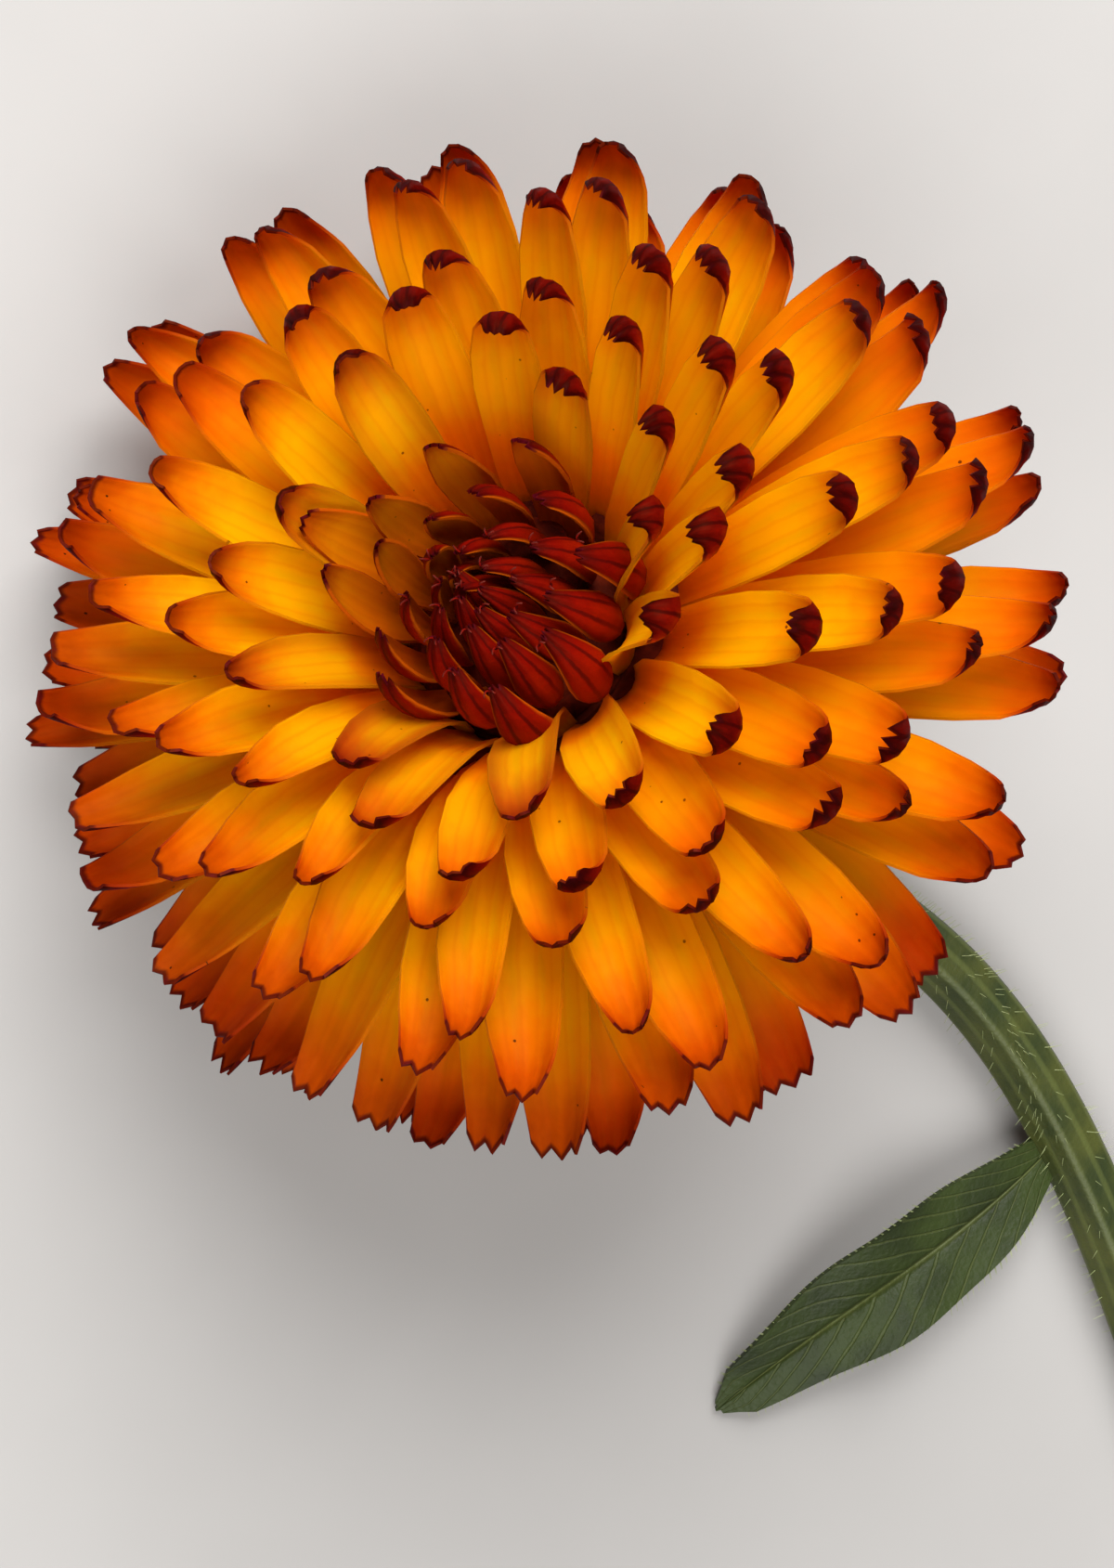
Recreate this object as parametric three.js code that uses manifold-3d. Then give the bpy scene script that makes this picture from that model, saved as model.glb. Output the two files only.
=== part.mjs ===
// A double pot marigold, picked and laid down on a flat surface.
// Millimetres, +Z up, the surface at z = 0. The head faces -Y and up, and rests on the rim of its
// lowest florets. The stem bends under the head and lies along +Y, where its cut end touches down.
import * as THREE from 'three';
import { mergeVertices } from 'three/addons/utils/BufferGeometryUtils.js';
import Module from 'manifold-3d';

const wasm = await Module();
wasm.setup();

const { sin, cos, PI } = Math;
const rad = THREE.MathUtils.degToRad;
const lerp = THREE.MathUtils.lerp;

// How the flower lies: the face looks up by this angle, its receptacle's centre this high.
const FACE_RISE = rad(50);
const HEAD_X = -2.26;
const HEAD_Y = -32.73;
const HEAD_Z = 22.1;
const GAP = 0.3;

// Florets this near the surface bend up softly. The lowest ones are pressed flat onto it.
const BEND_FROM = 2;
const LOWEST_MIDDLE_LINE = -0.1;

// Ray florets, numbered from the middle outwards, a golden angle apart.
const RAY_COUNT = 148;
const GOLDEN_ANGLE = PI * (3 - Math.sqrt(5));
const INNER_TIP_ANGLE = rad(38);
const OUTER_TIP_ANGLE = rad(110);
const INNER_REACH = 19.3;
const OUTER_REACH = 30;
const FULL_REACH_ANGLE = rad(98);
const TIP_CROWDING = 0.85;
const RAY_WIDTH_INNER = 4.3;
const RAY_WIDTH_OUTER = 5.5;
const RAY_ROOT_SHARE = 0.4;
const RAY_WIDEST_AT = 0.72;
const RAY_SHOULDER = 0.93;
const RAY_CHANNEL = 0.42;
const RAY_THICKNESS = 0.66;
const INNER_ROOT = { out: 7.6, up: 2.6 };
const OUTER_ROOT = { out: 7.8, up: -4.2 };
const ROOT_SUNK = 1.8;

// A blade bows outwards on the side that hangs open, and is straight or bows inwards opposite.
const RAY_BEND = rad(10);
const INNER_BEND = rad(28);
const BEND_SWING = rad(28);
const HANGING_AZIMUTH = rad(45);

// The last part of a ray curls up and back over its face, most on the far side and in the middle.
const HOOK_START = 0.8;
const INNER_CURL = rad(105);
const LOWEST_CURL = rad(60);
const CURL_SWING = rad(45);
const CURLED_AZIMUTH = rad(165);
const MOST_CURL = rad(140);
const STRAIGHT_SLACK = 1.03;
const CURL_SLACK = 0.045;

// How far one ray floret differs from the next, either way.
const TIP_ANGLE_SPREAD = rad(3);
const REACH_SPREAD = 0.04;
const RAY_BEND_SPREAD = rad(6);
const CURL_SPREAD = rad(26);
const RAY_WIDTH_SPREAD = 0.06;
const AZIMUTH_SPREAD = rad(4.5);
const LEAN_SPREAD = rad(5);
const TWIST_SPREAD = rad(14);
const CHANNEL_SPREAD = 0.18;

// Three teeth and two notches between them, from the right edge to the left: (along, across).
const TOOTHED_TIP = [[0.985, 0.8], [0.935, 0.4], [1, 0], [0.935, -0.4], [0.985, -0.8]];

// The receptacle and the crowded floret roots around it, as one round body inside the head.
const HEART_INNER = 9.8;
const HEART_SWELL = 7.2;
const HEART_TOP_ANGLE = rad(52);
const HEART_WIDE_ANGLE = rad(90);
const HEART_BOTTOM_ANGLE = rad(120);
const HEART_TAPER = 0.7;
const HEART_BOTTOM_RADIUS = 6.8;
const HEART_BOTTOM_Z = -6.6;
const HEART_PIT_RADIUS = 7.1;
const HEART_PIT_Z = 3;
const HEART_SIDES = 16;
const HEART_STEPS = 5;

// Dark middle florets, from the youngest at the centre to the oldest around it.
const MIDDLE_COUNT = 36;
const MIDDLE_FIRST_AZIMUTH = 1;
const OPENS_FROM = 0.35;
const MIDDLE_WIDTH_YOUNG = 2.4;
const MIDDLE_WIDTH_OLD = 4.2;
const MIDDLE_LENGTH_YOUNG = 6;
const MIDDLE_LENGTH_OLD = 10.4;
const MIDDLE_LENGTH_SPREAD = 0.5;
const MIDDLE_ROOT_OUT = 0.5;
const MIDDLE_ROOT_RING = 5.6;
const MIDDLE_ROOT_UP = 6.2;
const MIDDLE_ROOT_DROP = 2;
const CLOSED_START_YOUNG = 6;
const CLOSED_START_GAIN = 50;
const CLOSED_BEND_YOUNG = -42;
const CLOSED_BEND_GAIN = -52;
const OPEN_START = 30;
const OPEN_BEND = -8;
const MIDDLE_CURL = rad(22);
const MIDDLE_CURL_SPREAD = rad(10);
const MIDDLE_TWIST_SPREAD = rad(8);
const MIDDLE_CHANNEL = 0.5;
const MIDDLE_THICKNESS = 0.66;
const BLUNT_TIP = [[0.96, 0.55], [1, 0], [0.96, -0.55]];

// The dome that the middle florets grow from.
const DOME_RADIUS = 6.8;
const DOME_HEIGHT = 5.6;
const DOME_SIDES = 16;

// Bract cup and bracts.
const CUP_TOP_RADIUS = 6.8;
const CUP_TOP_Z = HEART_BOTTOM_Z - GAP;
const CUP_HEIGHT = 4.2;
const CUP_BOTTOM_Z = CUP_TOP_Z - CUP_HEIGHT;
const CUP_COLLAR = 0.5;
const CUP_BELLY_RADIUS = 5.2;
const CUP_BELLY_RISE = 1.4;
const CUP_EDGE = 0.4;
const CUP_SIDES = 20;
const BRACT_COUNT = 13;
const BRACT_LENGTH = 12;
const BRACT_LENGTH_SPREAD = 1;
const BRACT_WIDTH = 2.6;
const BRACT_TAPER = 0.45;
const BRACT_THICKNESS = 0.7;
const BRACT_CHANNEL = 0.25;
const BRACT_START = rad(100);
const BRACT_START_SPREAD = rad(4);
const BRACT_BEND = rad(-14);
const BRACT_CURL = rad(4);
const BRACT_ROOT = { out: 4.6, up: CUP_TOP_Z - 1.5 };

// Stem.
const STEM_RADIUS = 2.1;
const STEM_RIB = 0.14;
const STEM_RIBS = 5;
const STEM_SIDES = 10;
const STEM_STEPS = 22;
const NECK_PULL = 14;
const TOUCHDOWN = beyondHead(1.5, 40, 2.35);
const SETTLING = new THREE.Vector3(1, 14, 0);
const LYING_MIDDLE = beyondHead(12, 68, 2.4);
const CUT_END = beyondHead(30, 92, 2.05);

// Leaf.
const LEAF_AT = 0.4;
const LEAF_HEADING = new THREE.Vector3(0.95, -0.31, 0);
const LEAF_LENGTH = 27;
const LEAF_WIDTH = 7.6;
const LEAF_THICKNESS = 0.8;
const LEAF_ARCH = 2.2;
const LEAF_FOLD = 0.9;
const LEAF_WAVE = 0.45;
const LEAF_WAVES = 2.5;
const LEAF_SWEEP = 1.6;
const LEAF_FOOT_SHARE = 0.34;
const LEAF_TIP_Z = 0.45;
const LEAF_ROWS = [0, 0.12, 0.26, 0.4, 0.54, 0.68, 0.82, 0.93];

// A point given from the spot on the surface under the receptacle's centre.
function beyondHead(x, y, z) {
  return new THREE.Vector3(HEAD_X + x, HEAD_Y + y, z);
}

// The surface's upward direction, seen from the head's own axes.
const headUp = new THREE.Vector3(0, cos(FACE_RISE), sin(FACE_RISE));

// An even, repeatable spread from -1 to 1 for floret number i.
function spread(i, salt) {
  const value = i * 0.754877666 + salt * 0.569840291;
  return 2 * (value - Math.floor(value)) - 1;
}

function toSolid(geometry) {
  const bare = geometry.clone();
  for (const name of Object.keys(bare.attributes)) {
    if (name !== 'position') bare.deleteAttribute(name);
  }
  const merged = mergeVertices(bare, 1e-4);
  return new wasm.Manifold(new wasm.Mesh({
    numProp: 3,
    vertProperties: new Float32Array(merged.attributes.position.array),
    triVerts: new Uint32Array(merged.index.array),
  }));
}

function toGeometry(solid) {
  const { vertProperties, triVerts } = solid.getMesh();
  const geometry = new THREE.BufferGeometry();
  geometry.setAttribute('position', new THREE.BufferAttribute(vertProperties, 3));
  geometry.setIndex(new THREE.BufferAttribute(triVerts, 1));
  geometry.computeVertexNormals();
  return geometry;
}

function joinAll(solids) {
  let layer = solids;
  while (layer.length > 1) {
    const next = [];
    for (let k = 0; k < layer.length; k += 2) {
      next.push(k + 1 < layer.length ? layer[k].add(layer[k + 1]) : layer[k]);
    }
    layer = next;
  }
  return wholeBody(layer[0]);
}

// The one outer body of a joined piece, with the small hollows that joining seals filled.
function wholeBody(solid) {
  const shells = solid.decompose();
  return shells.reduce((largest, shell) => (shell.volume() > largest.volume() ? shell : largest));
}

// A sheet of triangles given a thickness: its two faces are split alike and walled along the rim.
function thicken(points, normals, triangles, rim, thickness) {
  const count = points.length;
  const position = new Float32Array(count * 6);
  points.forEach((point, k) => {
    const half = normals[k].clone().multiplyScalar(thickness / 2);
    point.clone().add(half).toArray(position, k * 3);
    point.clone().sub(half).toArray(position, (k + count) * 3);
  });
  const index = [];
  for (const [a, b, c] of triangles) {
    index.push(a, b, c);
    index.push(a + count, c + count, b + count);
  }
  rim.forEach((a, k) => {
    const b = rim[(k + 1) % rim.length];
    index.push(a, a + count, b + count);
    index.push(a, b + count, b);
  });
  const geometry = new THREE.BufferGeometry();
  geometry.setAttribute('position', new THREE.BufferAttribute(position, 3));
  geometry.setIndex(index);
  return toSolid(geometry);
}

// A strap three points wide along its rows, ended by an outline that fans from the last row's middle.
// place(t, s) gives the point and normal at t along the strap and s across it, from -1 to 1.
function strap(place, rows, tipOutline, thickness) {
  const points = [];
  const normals = [];
  const triangles = [];
  const add = (t, s) => {
    const { point, normal } = place(t, s);
    points.push(point);
    normals.push(normal);
    return points.length - 1;
  };
  const grid = rows.map((t) => [-1, 0, 1].map((s) => add(t, s)));
  for (let r = 0; r + 1 < grid.length; r += 1) {
    for (let c = 0; c < 2; c += 1) {
      const [a, b] = [grid[r][c], grid[r][c + 1]];
      const [d, e] = [grid[r + 1][c], grid[r + 1][c + 1]];
      if (c === 0) triangles.push([a, b, d], [b, e, d]);
      else triangles.push([a, b, e], [a, e, d]);
    }
  }
  const last = grid[grid.length - 1];
  const tip = tipOutline.map(([t, s]) => add(t, s));
  const fan = [last[2], ...tip, last[0]];
  for (let k = 0; k + 1 < fan.length; k += 1) triangles.push([last[1], fan[k], fan[k + 1]]);
  const rightEdge = grid.slice(1).map((row) => row[2]);
  const leftEdge = grid.slice(1).map((row) => row[0]).reverse();
  const rim = [...grid[0], ...rightEdge, ...tip, ...leftEdge];
  return thicken(points, normals, triangles, rim, thickness);
}

// A point on an arc in the half plane (out, up), where an angle of 0 points up the head's axis.
// The arc turns by an angle other than 0 over its length.
function alongArc(start, angle, turn, length, share) {
  const bend = turn / length;
  const end = angle + turn * share;
  return {
    out: start.out + (cos(angle) - cos(end)) / bend,
    up: start.up + (sin(end) - sin(angle)) / bend,
    angle: end,
  };
}

// The middle line of a floret: one arc for its blade and a tighter one for its hooked tip.
// The tip is one facet, so it faces along the chord of its hook, and the fold faces halfway.
function alongFloret(floret, t) {
  const bladeLength = floret.length * HOOK_START;
  const share = Math.min(t / HOOK_START, 1);
  const blade = alongArc(floret.root, floret.startAngle, floret.bend, bladeLength, share);
  if (t === HOOK_START) return { ...blade, angle: blade.angle - floret.curl / 4 };
  if (t < HOOK_START) return blade;
  const hookShare = (t - HOOK_START) / (1 - HOOK_START);
  const hook = alongArc(blade, blade.angle, -floret.curl, floret.length - bladeLength, hookShare);
  return { out: hook.out, up: hook.up, angle: (blade.angle + hook.angle) / 2 };
}

// Where the head meets the surface its florets bend up softly and lie along it.
function liftOffSurface(point) {
  const height = HEAD_Z + point.dot(headUp);
  if (height >= BEND_FROM) return point;
  const room = BEND_FROM - LOWEST_MIDDLE_LINE;
  const lifted = LOWEST_MIDDLE_LINE + room * Math.exp((height - BEND_FROM) / room);
  return point.addScaledVector(headUp, lifted - height);
}

// The point of a floret at t along it and s across it, with its face's normal there.
function onFloret(floret, t, s) {
  const { out, up, angle } = alongFloret(floret, t);
  const azimuth = floret.azimuth + floret.lean * t;
  const outward = new THREE.Vector3(cos(azimuth), sin(azimuth), 0);
  const along = outward.clone().multiplyScalar(sin(angle));
  along.z = cos(angle);
  const across = new THREE.Vector3(sin(azimuth), -cos(azimuth), 0).applyAxisAngle(along, floret.twist * t);
  const normal = across.clone().cross(along).normalize();
  const point = outward.clone().multiplyScalar(out);
  point.z = up;
  point.addScaledVector(across, s * floret.halfWidth(t));
  point.addScaledVector(normal, floret.channel * s * s);
  return { point, normal };
}

function reachAt(tipAngle) {
  const share = Math.min(1, (tipAngle - INNER_TIP_ANGLE) / (FULL_REACH_ANGLE - INNER_TIP_ANGLE));
  return INNER_REACH + (OUTER_REACH - INNER_REACH) * sin(share * PI / 2);
}

function heartRadiusAt(polarAngle) {
  if (polarAngle < HEART_WIDE_ANGLE) {
    const rise = (polarAngle - HEART_TOP_ANGLE) / (HEART_WIDE_ANGLE - HEART_TOP_ANGLE);
    return HEART_INNER + HEART_SWELL * sin(rise * PI / 2);
  }
  const fall = (polarAngle - HEART_WIDE_ANGLE) / (HEART_BOTTOM_ANGLE - HEART_WIDE_ANGLE);
  return HEART_INNER + HEART_SWELL * (1 - fall ** HEART_TAPER);
}

function swell(t, rootShare, widestAt) {
  return rootShare + (1 - rootShare) * sin(Math.min(t / widestAt, 1) * PI / 2);
}

function rayFloret(i) {
  const rank = (i + 0.5) / RAY_COUNT;
  const spacing = lerp(INNER_TIP_ANGLE, OUTER_TIP_ANGLE, rank ** TIP_CROWDING);
  const tipAngle = spacing + TIP_ANGLE_SPREAD * spread(i, 1);
  const reach = reachAt(tipAngle) * (1 + REACH_SPREAD * spread(i, 2));
  const root = {
    out: lerp(INNER_ROOT.out, OUTER_ROOT.out, rank),
    up: lerp(INNER_ROOT.up, OUTER_ROOT.up, rank),
  };
  const run = { out: reach * sin(tipAngle) - root.out, up: reach * cos(tipAngle) - root.up };
  const fullWidth = lerp(RAY_WIDTH_INNER, RAY_WIDTH_OUTER, Math.sqrt(rank));
  const width = fullWidth * (1 + RAY_WIDTH_SPREAD * spread(i, 4));
  const azimuth = i * GOLDEN_ANGLE + AZIMUTH_SPREAD * spread(i, 6);
  const ownBend = RAY_BEND + INNER_BEND * (1 - rank) ** 3 + RAY_BEND_SPREAD * spread(i, 3);
  const bend = ownBend + BEND_SWING * cos(azimuth - HANGING_AZIMUTH);
  const ownCurl = lerp(INNER_CURL, LOWEST_CURL, rank) + CURL_SPREAD * spread(i, 5);
  const curl = Math.min(ownCurl + CURL_SWING * cos(azimuth - CURLED_AZIMUTH), MOST_CURL);
  return {
    root,
    startAngle: Math.atan2(run.out, run.up) - bend / 2,
    bend,
    curl,
    length: Math.hypot(run.out, run.up) * (STRAIGHT_SLACK + CURL_SLACK * curl),
    azimuth,
    lean: LEAN_SPREAD * spread(i, 7),
    twist: TWIST_SPREAD * spread(i, 8),
    channel: RAY_CHANNEL + CHANNEL_SPREAD * spread(i, 9),
    halfWidth: (t) => (width / 2) * swell(t, RAY_ROOT_SHARE, RAY_WIDEST_AT) * (t > 0.9 ? RAY_SHOULDER : 1),
  };
}

function raySolid(floret) {
  const place = (t, s) => {
    const { point, normal } = onFloret(floret, t, s);
    return { point: liftOffSurface(point), normal };
  };
  const isSunk = (t) => {
    const { out, up } = alongFloret(floret, t);
    return Math.hypot(out, up) < heartRadiusAt(Math.atan2(out, up)) - ROOT_SUNK;
  };
  const step = 0.01;
  let start = 0;
  while (isSunk(start + step)) start += step;
  const rows = [start, lerp(start, HOOK_START, 0.5), HOOK_START];
  return strap(place, rows, TOOTHED_TIP, RAY_THICKNESS);
}

function heartSolid() {
  const profile = [
    new THREE.Vector2(0, HEART_BOTTOM_Z),
    new THREE.Vector2(HEART_BOTTOM_RADIUS, HEART_BOTTOM_Z),
  ];
  for (let k = 0; k <= HEART_STEPS; k += 1) {
    const polarAngle = lerp(HEART_BOTTOM_ANGLE, HEART_TOP_ANGLE, k / HEART_STEPS);
    const radius = heartRadiusAt(polarAngle);
    profile.push(new THREE.Vector2(radius * sin(polarAngle), radius * cos(polarAngle)));
  }
  profile.push(new THREE.Vector2(HEART_PIT_RADIUS, HEART_PIT_Z), new THREE.Vector2(0, HEART_PIT_Z));
  return turned(profile, HEART_SIDES);
}

// A closed profile of (radius, height) points from axis to axis, turned about the head's axis.
function turned(profile, sides) {
  const geometry = new THREE.LatheGeometry(profile, sides);
  geometry.rotateX(PI / 2);
  return toSolid(geometry);
}

function rayFlorets() {
  const solids = [heartSolid()];
  for (let i = 0; i < RAY_COUNT; i += 1) solids.push(raySolid(rayFloret(i)));
  return joinAll(solids);
}

// The middle florets close over the centre, except on the side that has begun to open.
function middleFloret(j) {
  const rank = (j + 0.5) / MIDDLE_COUNT;
  const azimuth = j * GOLDEN_ANGLE + MIDDLE_FIRST_AZIMUTH;
  const openSide = 0.5 - 0.5 * sin(azimuth);
  const open = openSide * Math.max(0, rank - OPENS_FROM) / (1 - OPENS_FROM);
  const width = lerp(MIDDLE_WIDTH_YOUNG, MIDDLE_WIDTH_OLD, rank);
  const length = lerp(MIDDLE_LENGTH_YOUNG, MIDDLE_LENGTH_OLD, rank);
  const root = {
    out: MIDDLE_ROOT_OUT + MIDDLE_ROOT_RING * Math.sqrt(rank),
    up: MIDDLE_ROOT_UP - MIDDLE_ROOT_DROP * rank,
  };
  return {
    root,
    startAngle: rad(lerp(CLOSED_START_YOUNG + CLOSED_START_GAIN * rank, OPEN_START, open)),
    bend: rad(lerp(CLOSED_BEND_YOUNG + CLOSED_BEND_GAIN * rank, OPEN_BEND, open)),
    curl: MIDDLE_CURL + MIDDLE_CURL_SPREAD * spread(j, 11),
    length: length + MIDDLE_LENGTH_SPREAD * spread(j, 12),
    azimuth,
    lean: 0,
    twist: MIDDLE_TWIST_SPREAD * spread(j, 13),
    channel: MIDDLE_CHANNEL,
    halfWidth: (t) => (width / 2) * swell(t, 0.5, 0.5) * (t > 0.8 ? 0.8 : 1),
  };
}

function middleFlorets() {
  const base = HEART_PIT_Z + GAP;
  const dome = [
    new THREE.Vector2(0, base),
    new THREE.Vector2(DOME_RADIUS * 0.92, base),
    new THREE.Vector2(DOME_RADIUS, base + DOME_HEIGHT * 0.35),
    new THREE.Vector2(DOME_RADIUS * 0.7, base + DOME_HEIGHT * 0.8),
    new THREE.Vector2(0, base + DOME_HEIGHT),
  ];
  const solids = [turned(dome, DOME_SIDES)];
  for (let j = 0; j < MIDDLE_COUNT; j += 1) {
    const floret = middleFloret(j);
    const place = (t, s) => onFloret(floret, t, s);
    solids.push(strap(place, [0.1, 0.5, 0.82], BLUNT_TIP, MIDDLE_THICKNESS));
  }
  return joinAll(solids);
}

function bract(k) {
  return {
    root: BRACT_ROOT,
    startAngle: BRACT_START + BRACT_START_SPREAD * spread(k, 21),
    bend: BRACT_BEND,
    curl: BRACT_CURL,
    length: BRACT_LENGTH + BRACT_LENGTH_SPREAD * spread(k, 22),
    azimuth: (k / BRACT_COUNT) * 2 * PI,
    lean: 0,
    twist: 0,
    channel: BRACT_CHANNEL,
    halfWidth: (t) => (BRACT_WIDTH / 2) * (1 - BRACT_TAPER * t),
  };
}

function bractCup() {
  const profile = [
    new THREE.Vector2(0, CUP_BOTTOM_Z),
    new THREE.Vector2(STEM_RADIUS + CUP_COLLAR, CUP_BOTTOM_Z),
    new THREE.Vector2(CUP_BELLY_RADIUS, CUP_BOTTOM_Z + CUP_BELLY_RISE),
    new THREE.Vector2(CUP_TOP_RADIUS, CUP_TOP_Z - CUP_EDGE),
    new THREE.Vector2(CUP_TOP_RADIUS - CUP_EDGE, CUP_TOP_Z),
    new THREE.Vector2(0, CUP_TOP_Z),
  ];
  const solids = [turned(profile, CUP_SIDES)];
  for (let k = 0; k < BRACT_COUNT; k += 1) {
    const leafy = bract(k);
    const place = (t, s) => onFloret(leafy, t, s);
    solids.push(strap(place, [0, 0.5, 0.8], [[1, 0]], BRACT_THICKNESS));
  }
  return joinAll(solids);
}

// Everything below the surface is pressed flat onto it.
function pressOnSurface(solid) {
  const slab = new THREE.BoxGeometry(400, 400, 40).translate(0, 0, -20);
  return solid.subtract(toSolid(slab));
}

const headMatrix = new THREE.Matrix4()
  .makeTranslation(HEAD_X, HEAD_Y, HEAD_Z)
  .multiply(new THREE.Matrix4().makeRotationX(PI / 2 - FACE_RISE));

// A solid made in the head's own axes, set where the head lies.
function inHead(solid) {
  return solid.transform(headMatrix.elements);
}

// The stem's middle line: a bent neck under the head, then a stretch that lies on the surface.
const stemTop = new THREE.Vector3(0, 0, CUP_BOTTOM_Z - GAP).applyMatrix4(headMatrix);
const backward = new THREE.Vector3(0, 0, -1).transformDirection(headMatrix);
const neckPull = stemTop.clone().addScaledVector(backward, NECK_PULL);
const settle = TOUCHDOWN.clone().sub(SETTLING);
const onward = TOUCHDOWN.clone().add(SETTLING);
const neckLine = new THREE.CubicBezierCurve3(stemTop, neckPull, settle, TOUCHDOWN);
const lyingLine = new THREE.CubicBezierCurve3(TOUCHDOWN, onward, LYING_MIDDLE, CUT_END);

function stemSolid() {
  const path = new THREE.CurvePath();
  path.add(neckLine);
  path.add(lyingLine);
  const section = new THREE.Shape();
  for (let k = 0; k < STEM_SIDES; k += 1) {
    const angle = (k / STEM_SIDES) * 2 * PI;
    const radius = STEM_RADIUS + STEM_RIB * cos(angle * STEM_RIBS);
    const corner = [radius * cos(angle), radius * sin(angle)];
    if (k === 0) section.moveTo(...corner);
    else section.lineTo(...corner);
  }
  section.closePath();
  return toSolid(new THREE.ExtrudeGeometry(section, { steps: STEM_STEPS, extrudePath: path }));
}

// The leaf springs from the stem's side, arches a little and touches down with its tip.
function leafSolid() {
  const along = LEAF_HEADING.clone().normalize();
  const across = new THREE.Vector3(along.y, -along.x, 0);
  const up = new THREE.Vector3(0, 0, 1);
  const base = lyingLine.getPoint(LEAF_AT).addScaledVector(along, STEM_RADIUS + STEM_RIB + GAP);
  const place = (t, s) => {
    const outline = LEAF_FOOT_SHARE + (1 - LEAF_FOOT_SHARE) * sin(PI * Math.min(t, 0.96) ** 0.9);
    const rise = lerp(base.z, LEAF_TIP_Z, t * t) + LEAF_ARCH * sin(PI * t);
    const fold = Math.abs(s) * (LEAF_FOLD + LEAF_WAVE * sin(2 * PI * LEAF_WAVES * t + s));
    const point = base.clone().addScaledVector(along, LEAF_LENGTH * t);
    point.addScaledVector(across, s * outline * LEAF_WIDTH / 2 + LEAF_SWEEP * sin(PI * t) * t);
    point.z = rise + fold * sin(PI * t);
    return { point, normal: up };
  };
  return strap(place, LEAF_ROWS, [[1, 0]], LEAF_THICKNESS);
}

const flower = new THREE.Group();

function addPiece(name, solid, color, roughness) {
  const material = new THREE.MeshStandardMaterial({ color, roughness, metalness: 0 });
  const mesh = new THREE.Mesh(toGeometry(solid), material);
  mesh.name = name;
  flower.add(mesh);
}

addPiece('ray_florets', pressOnSurface(inHead(rayFlorets())), 0xf28a06, 0.55);
addPiece('middle_florets', inHead(middleFlorets()), 0x7d0a06, 0.5);
addPiece('bract_cup', inHead(bractCup()), 0x4c5a24, 0.6);
addPiece('stem', pressOnSurface(stemSolid()), 0x4a5524, 0.6);
addPiece('stem_leaf', pressOnSurface(leafSolid()), 0x3a4a1c, 0.6);

export default flower;
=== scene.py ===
# %% [markdown]
# # A double pot marigold, picked and laid down
#
# The flower was photographed from in front and a little above its face. Here it has been picked:
# the head rests on the rim of its lowest petals, the stem bends under it and lies along the table,
# and the camera looks down on it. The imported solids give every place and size. This script dresses
# them: thin petals with toothed, hooked tips, a dark middle, hairy green parts and their finishes.

# %% The frame and its box
import math

import bmesh
import bpy
from mathutils import Matrix, Vector


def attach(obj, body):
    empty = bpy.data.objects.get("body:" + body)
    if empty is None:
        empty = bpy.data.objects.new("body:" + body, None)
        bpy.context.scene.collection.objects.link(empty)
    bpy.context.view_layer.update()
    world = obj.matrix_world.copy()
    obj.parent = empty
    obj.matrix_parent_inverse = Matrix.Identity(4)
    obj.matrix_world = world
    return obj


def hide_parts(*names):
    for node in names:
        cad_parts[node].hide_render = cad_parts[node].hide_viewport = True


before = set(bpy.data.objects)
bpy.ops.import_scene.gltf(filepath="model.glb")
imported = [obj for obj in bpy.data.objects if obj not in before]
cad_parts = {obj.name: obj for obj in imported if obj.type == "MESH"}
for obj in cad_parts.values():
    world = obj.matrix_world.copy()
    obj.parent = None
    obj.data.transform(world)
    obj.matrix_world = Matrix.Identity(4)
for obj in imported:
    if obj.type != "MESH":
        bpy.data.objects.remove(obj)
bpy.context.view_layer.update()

# %% [markdown]
# ## The head's own axes
#
# A flower head is round, so it is easiest to think of it standing upright: its axis is Z and a
# petal is a flat curve turned to its own azimuth. The head is worked out that way in millimetres,
# and one matrix then tips it back, sets it on the table and turns millimetres into metres. The
# numbers are those of the solids, so that each petal here lies inside its thicker stand-in.

# %% The head's place
MM = 0.001
FACE_RISE = math.radians(50)
HEAD_FOOT = Vector((-2.26, -32.73, 0))
HEAD_RAISED = 22.1

HEAD_TO_TABLE = (
    Matrix.Translation(HEAD_FOOT + Vector((0, 0, HEAD_RAISED)))
    @ Matrix.Rotation(math.pi / 2 - FACE_RISE, 4, "X")
)
MM_TO_FRAME = Matrix.Scale(MM, 4)
head_centre = MM_TO_FRAME @ HEAD_TO_TABLE @ Vector((0, 0, 0))
print("head centre", tuple(round(value, 4) for value in head_centre))

# %% [markdown]
# ## Camera
#
# The photograph looks almost straight into the flower: the head's axis leans about 20 degrees away
# from the line of sight, towards the picture's upper left, and the stem leaves at the lower right.
# With the flower lying down, that is a camera 70 degrees above the table on the face's side, rolled
# until the stem points to the lower right. The distance follows from the size of the head in the
# picture, so the head fills the frame as it does there.

# %% Camera
FRAME_PIXELS = (1200, 1689)
HEAD_AT_PIXEL = (574, 687)
HEAD_RADIUS_PIXELS = 556
HEAD_RADIUS = 30 * MM
CAMERA_RISE = math.radians(70)
CAMERA_ROLL = math.radians(124)
LENS_MM = 100
SENSOR_MM = 36

view_back = Vector((0, -math.cos(CAMERA_RISE), math.sin(CAMERA_RISE)))
level_right = Vector((1, 0, 0))
level_up = view_back.cross(level_right)
view_right = level_right * math.cos(CAMERA_ROLL) + level_up * math.sin(CAMERA_ROLL)
view_up = view_back.cross(view_right)

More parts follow.
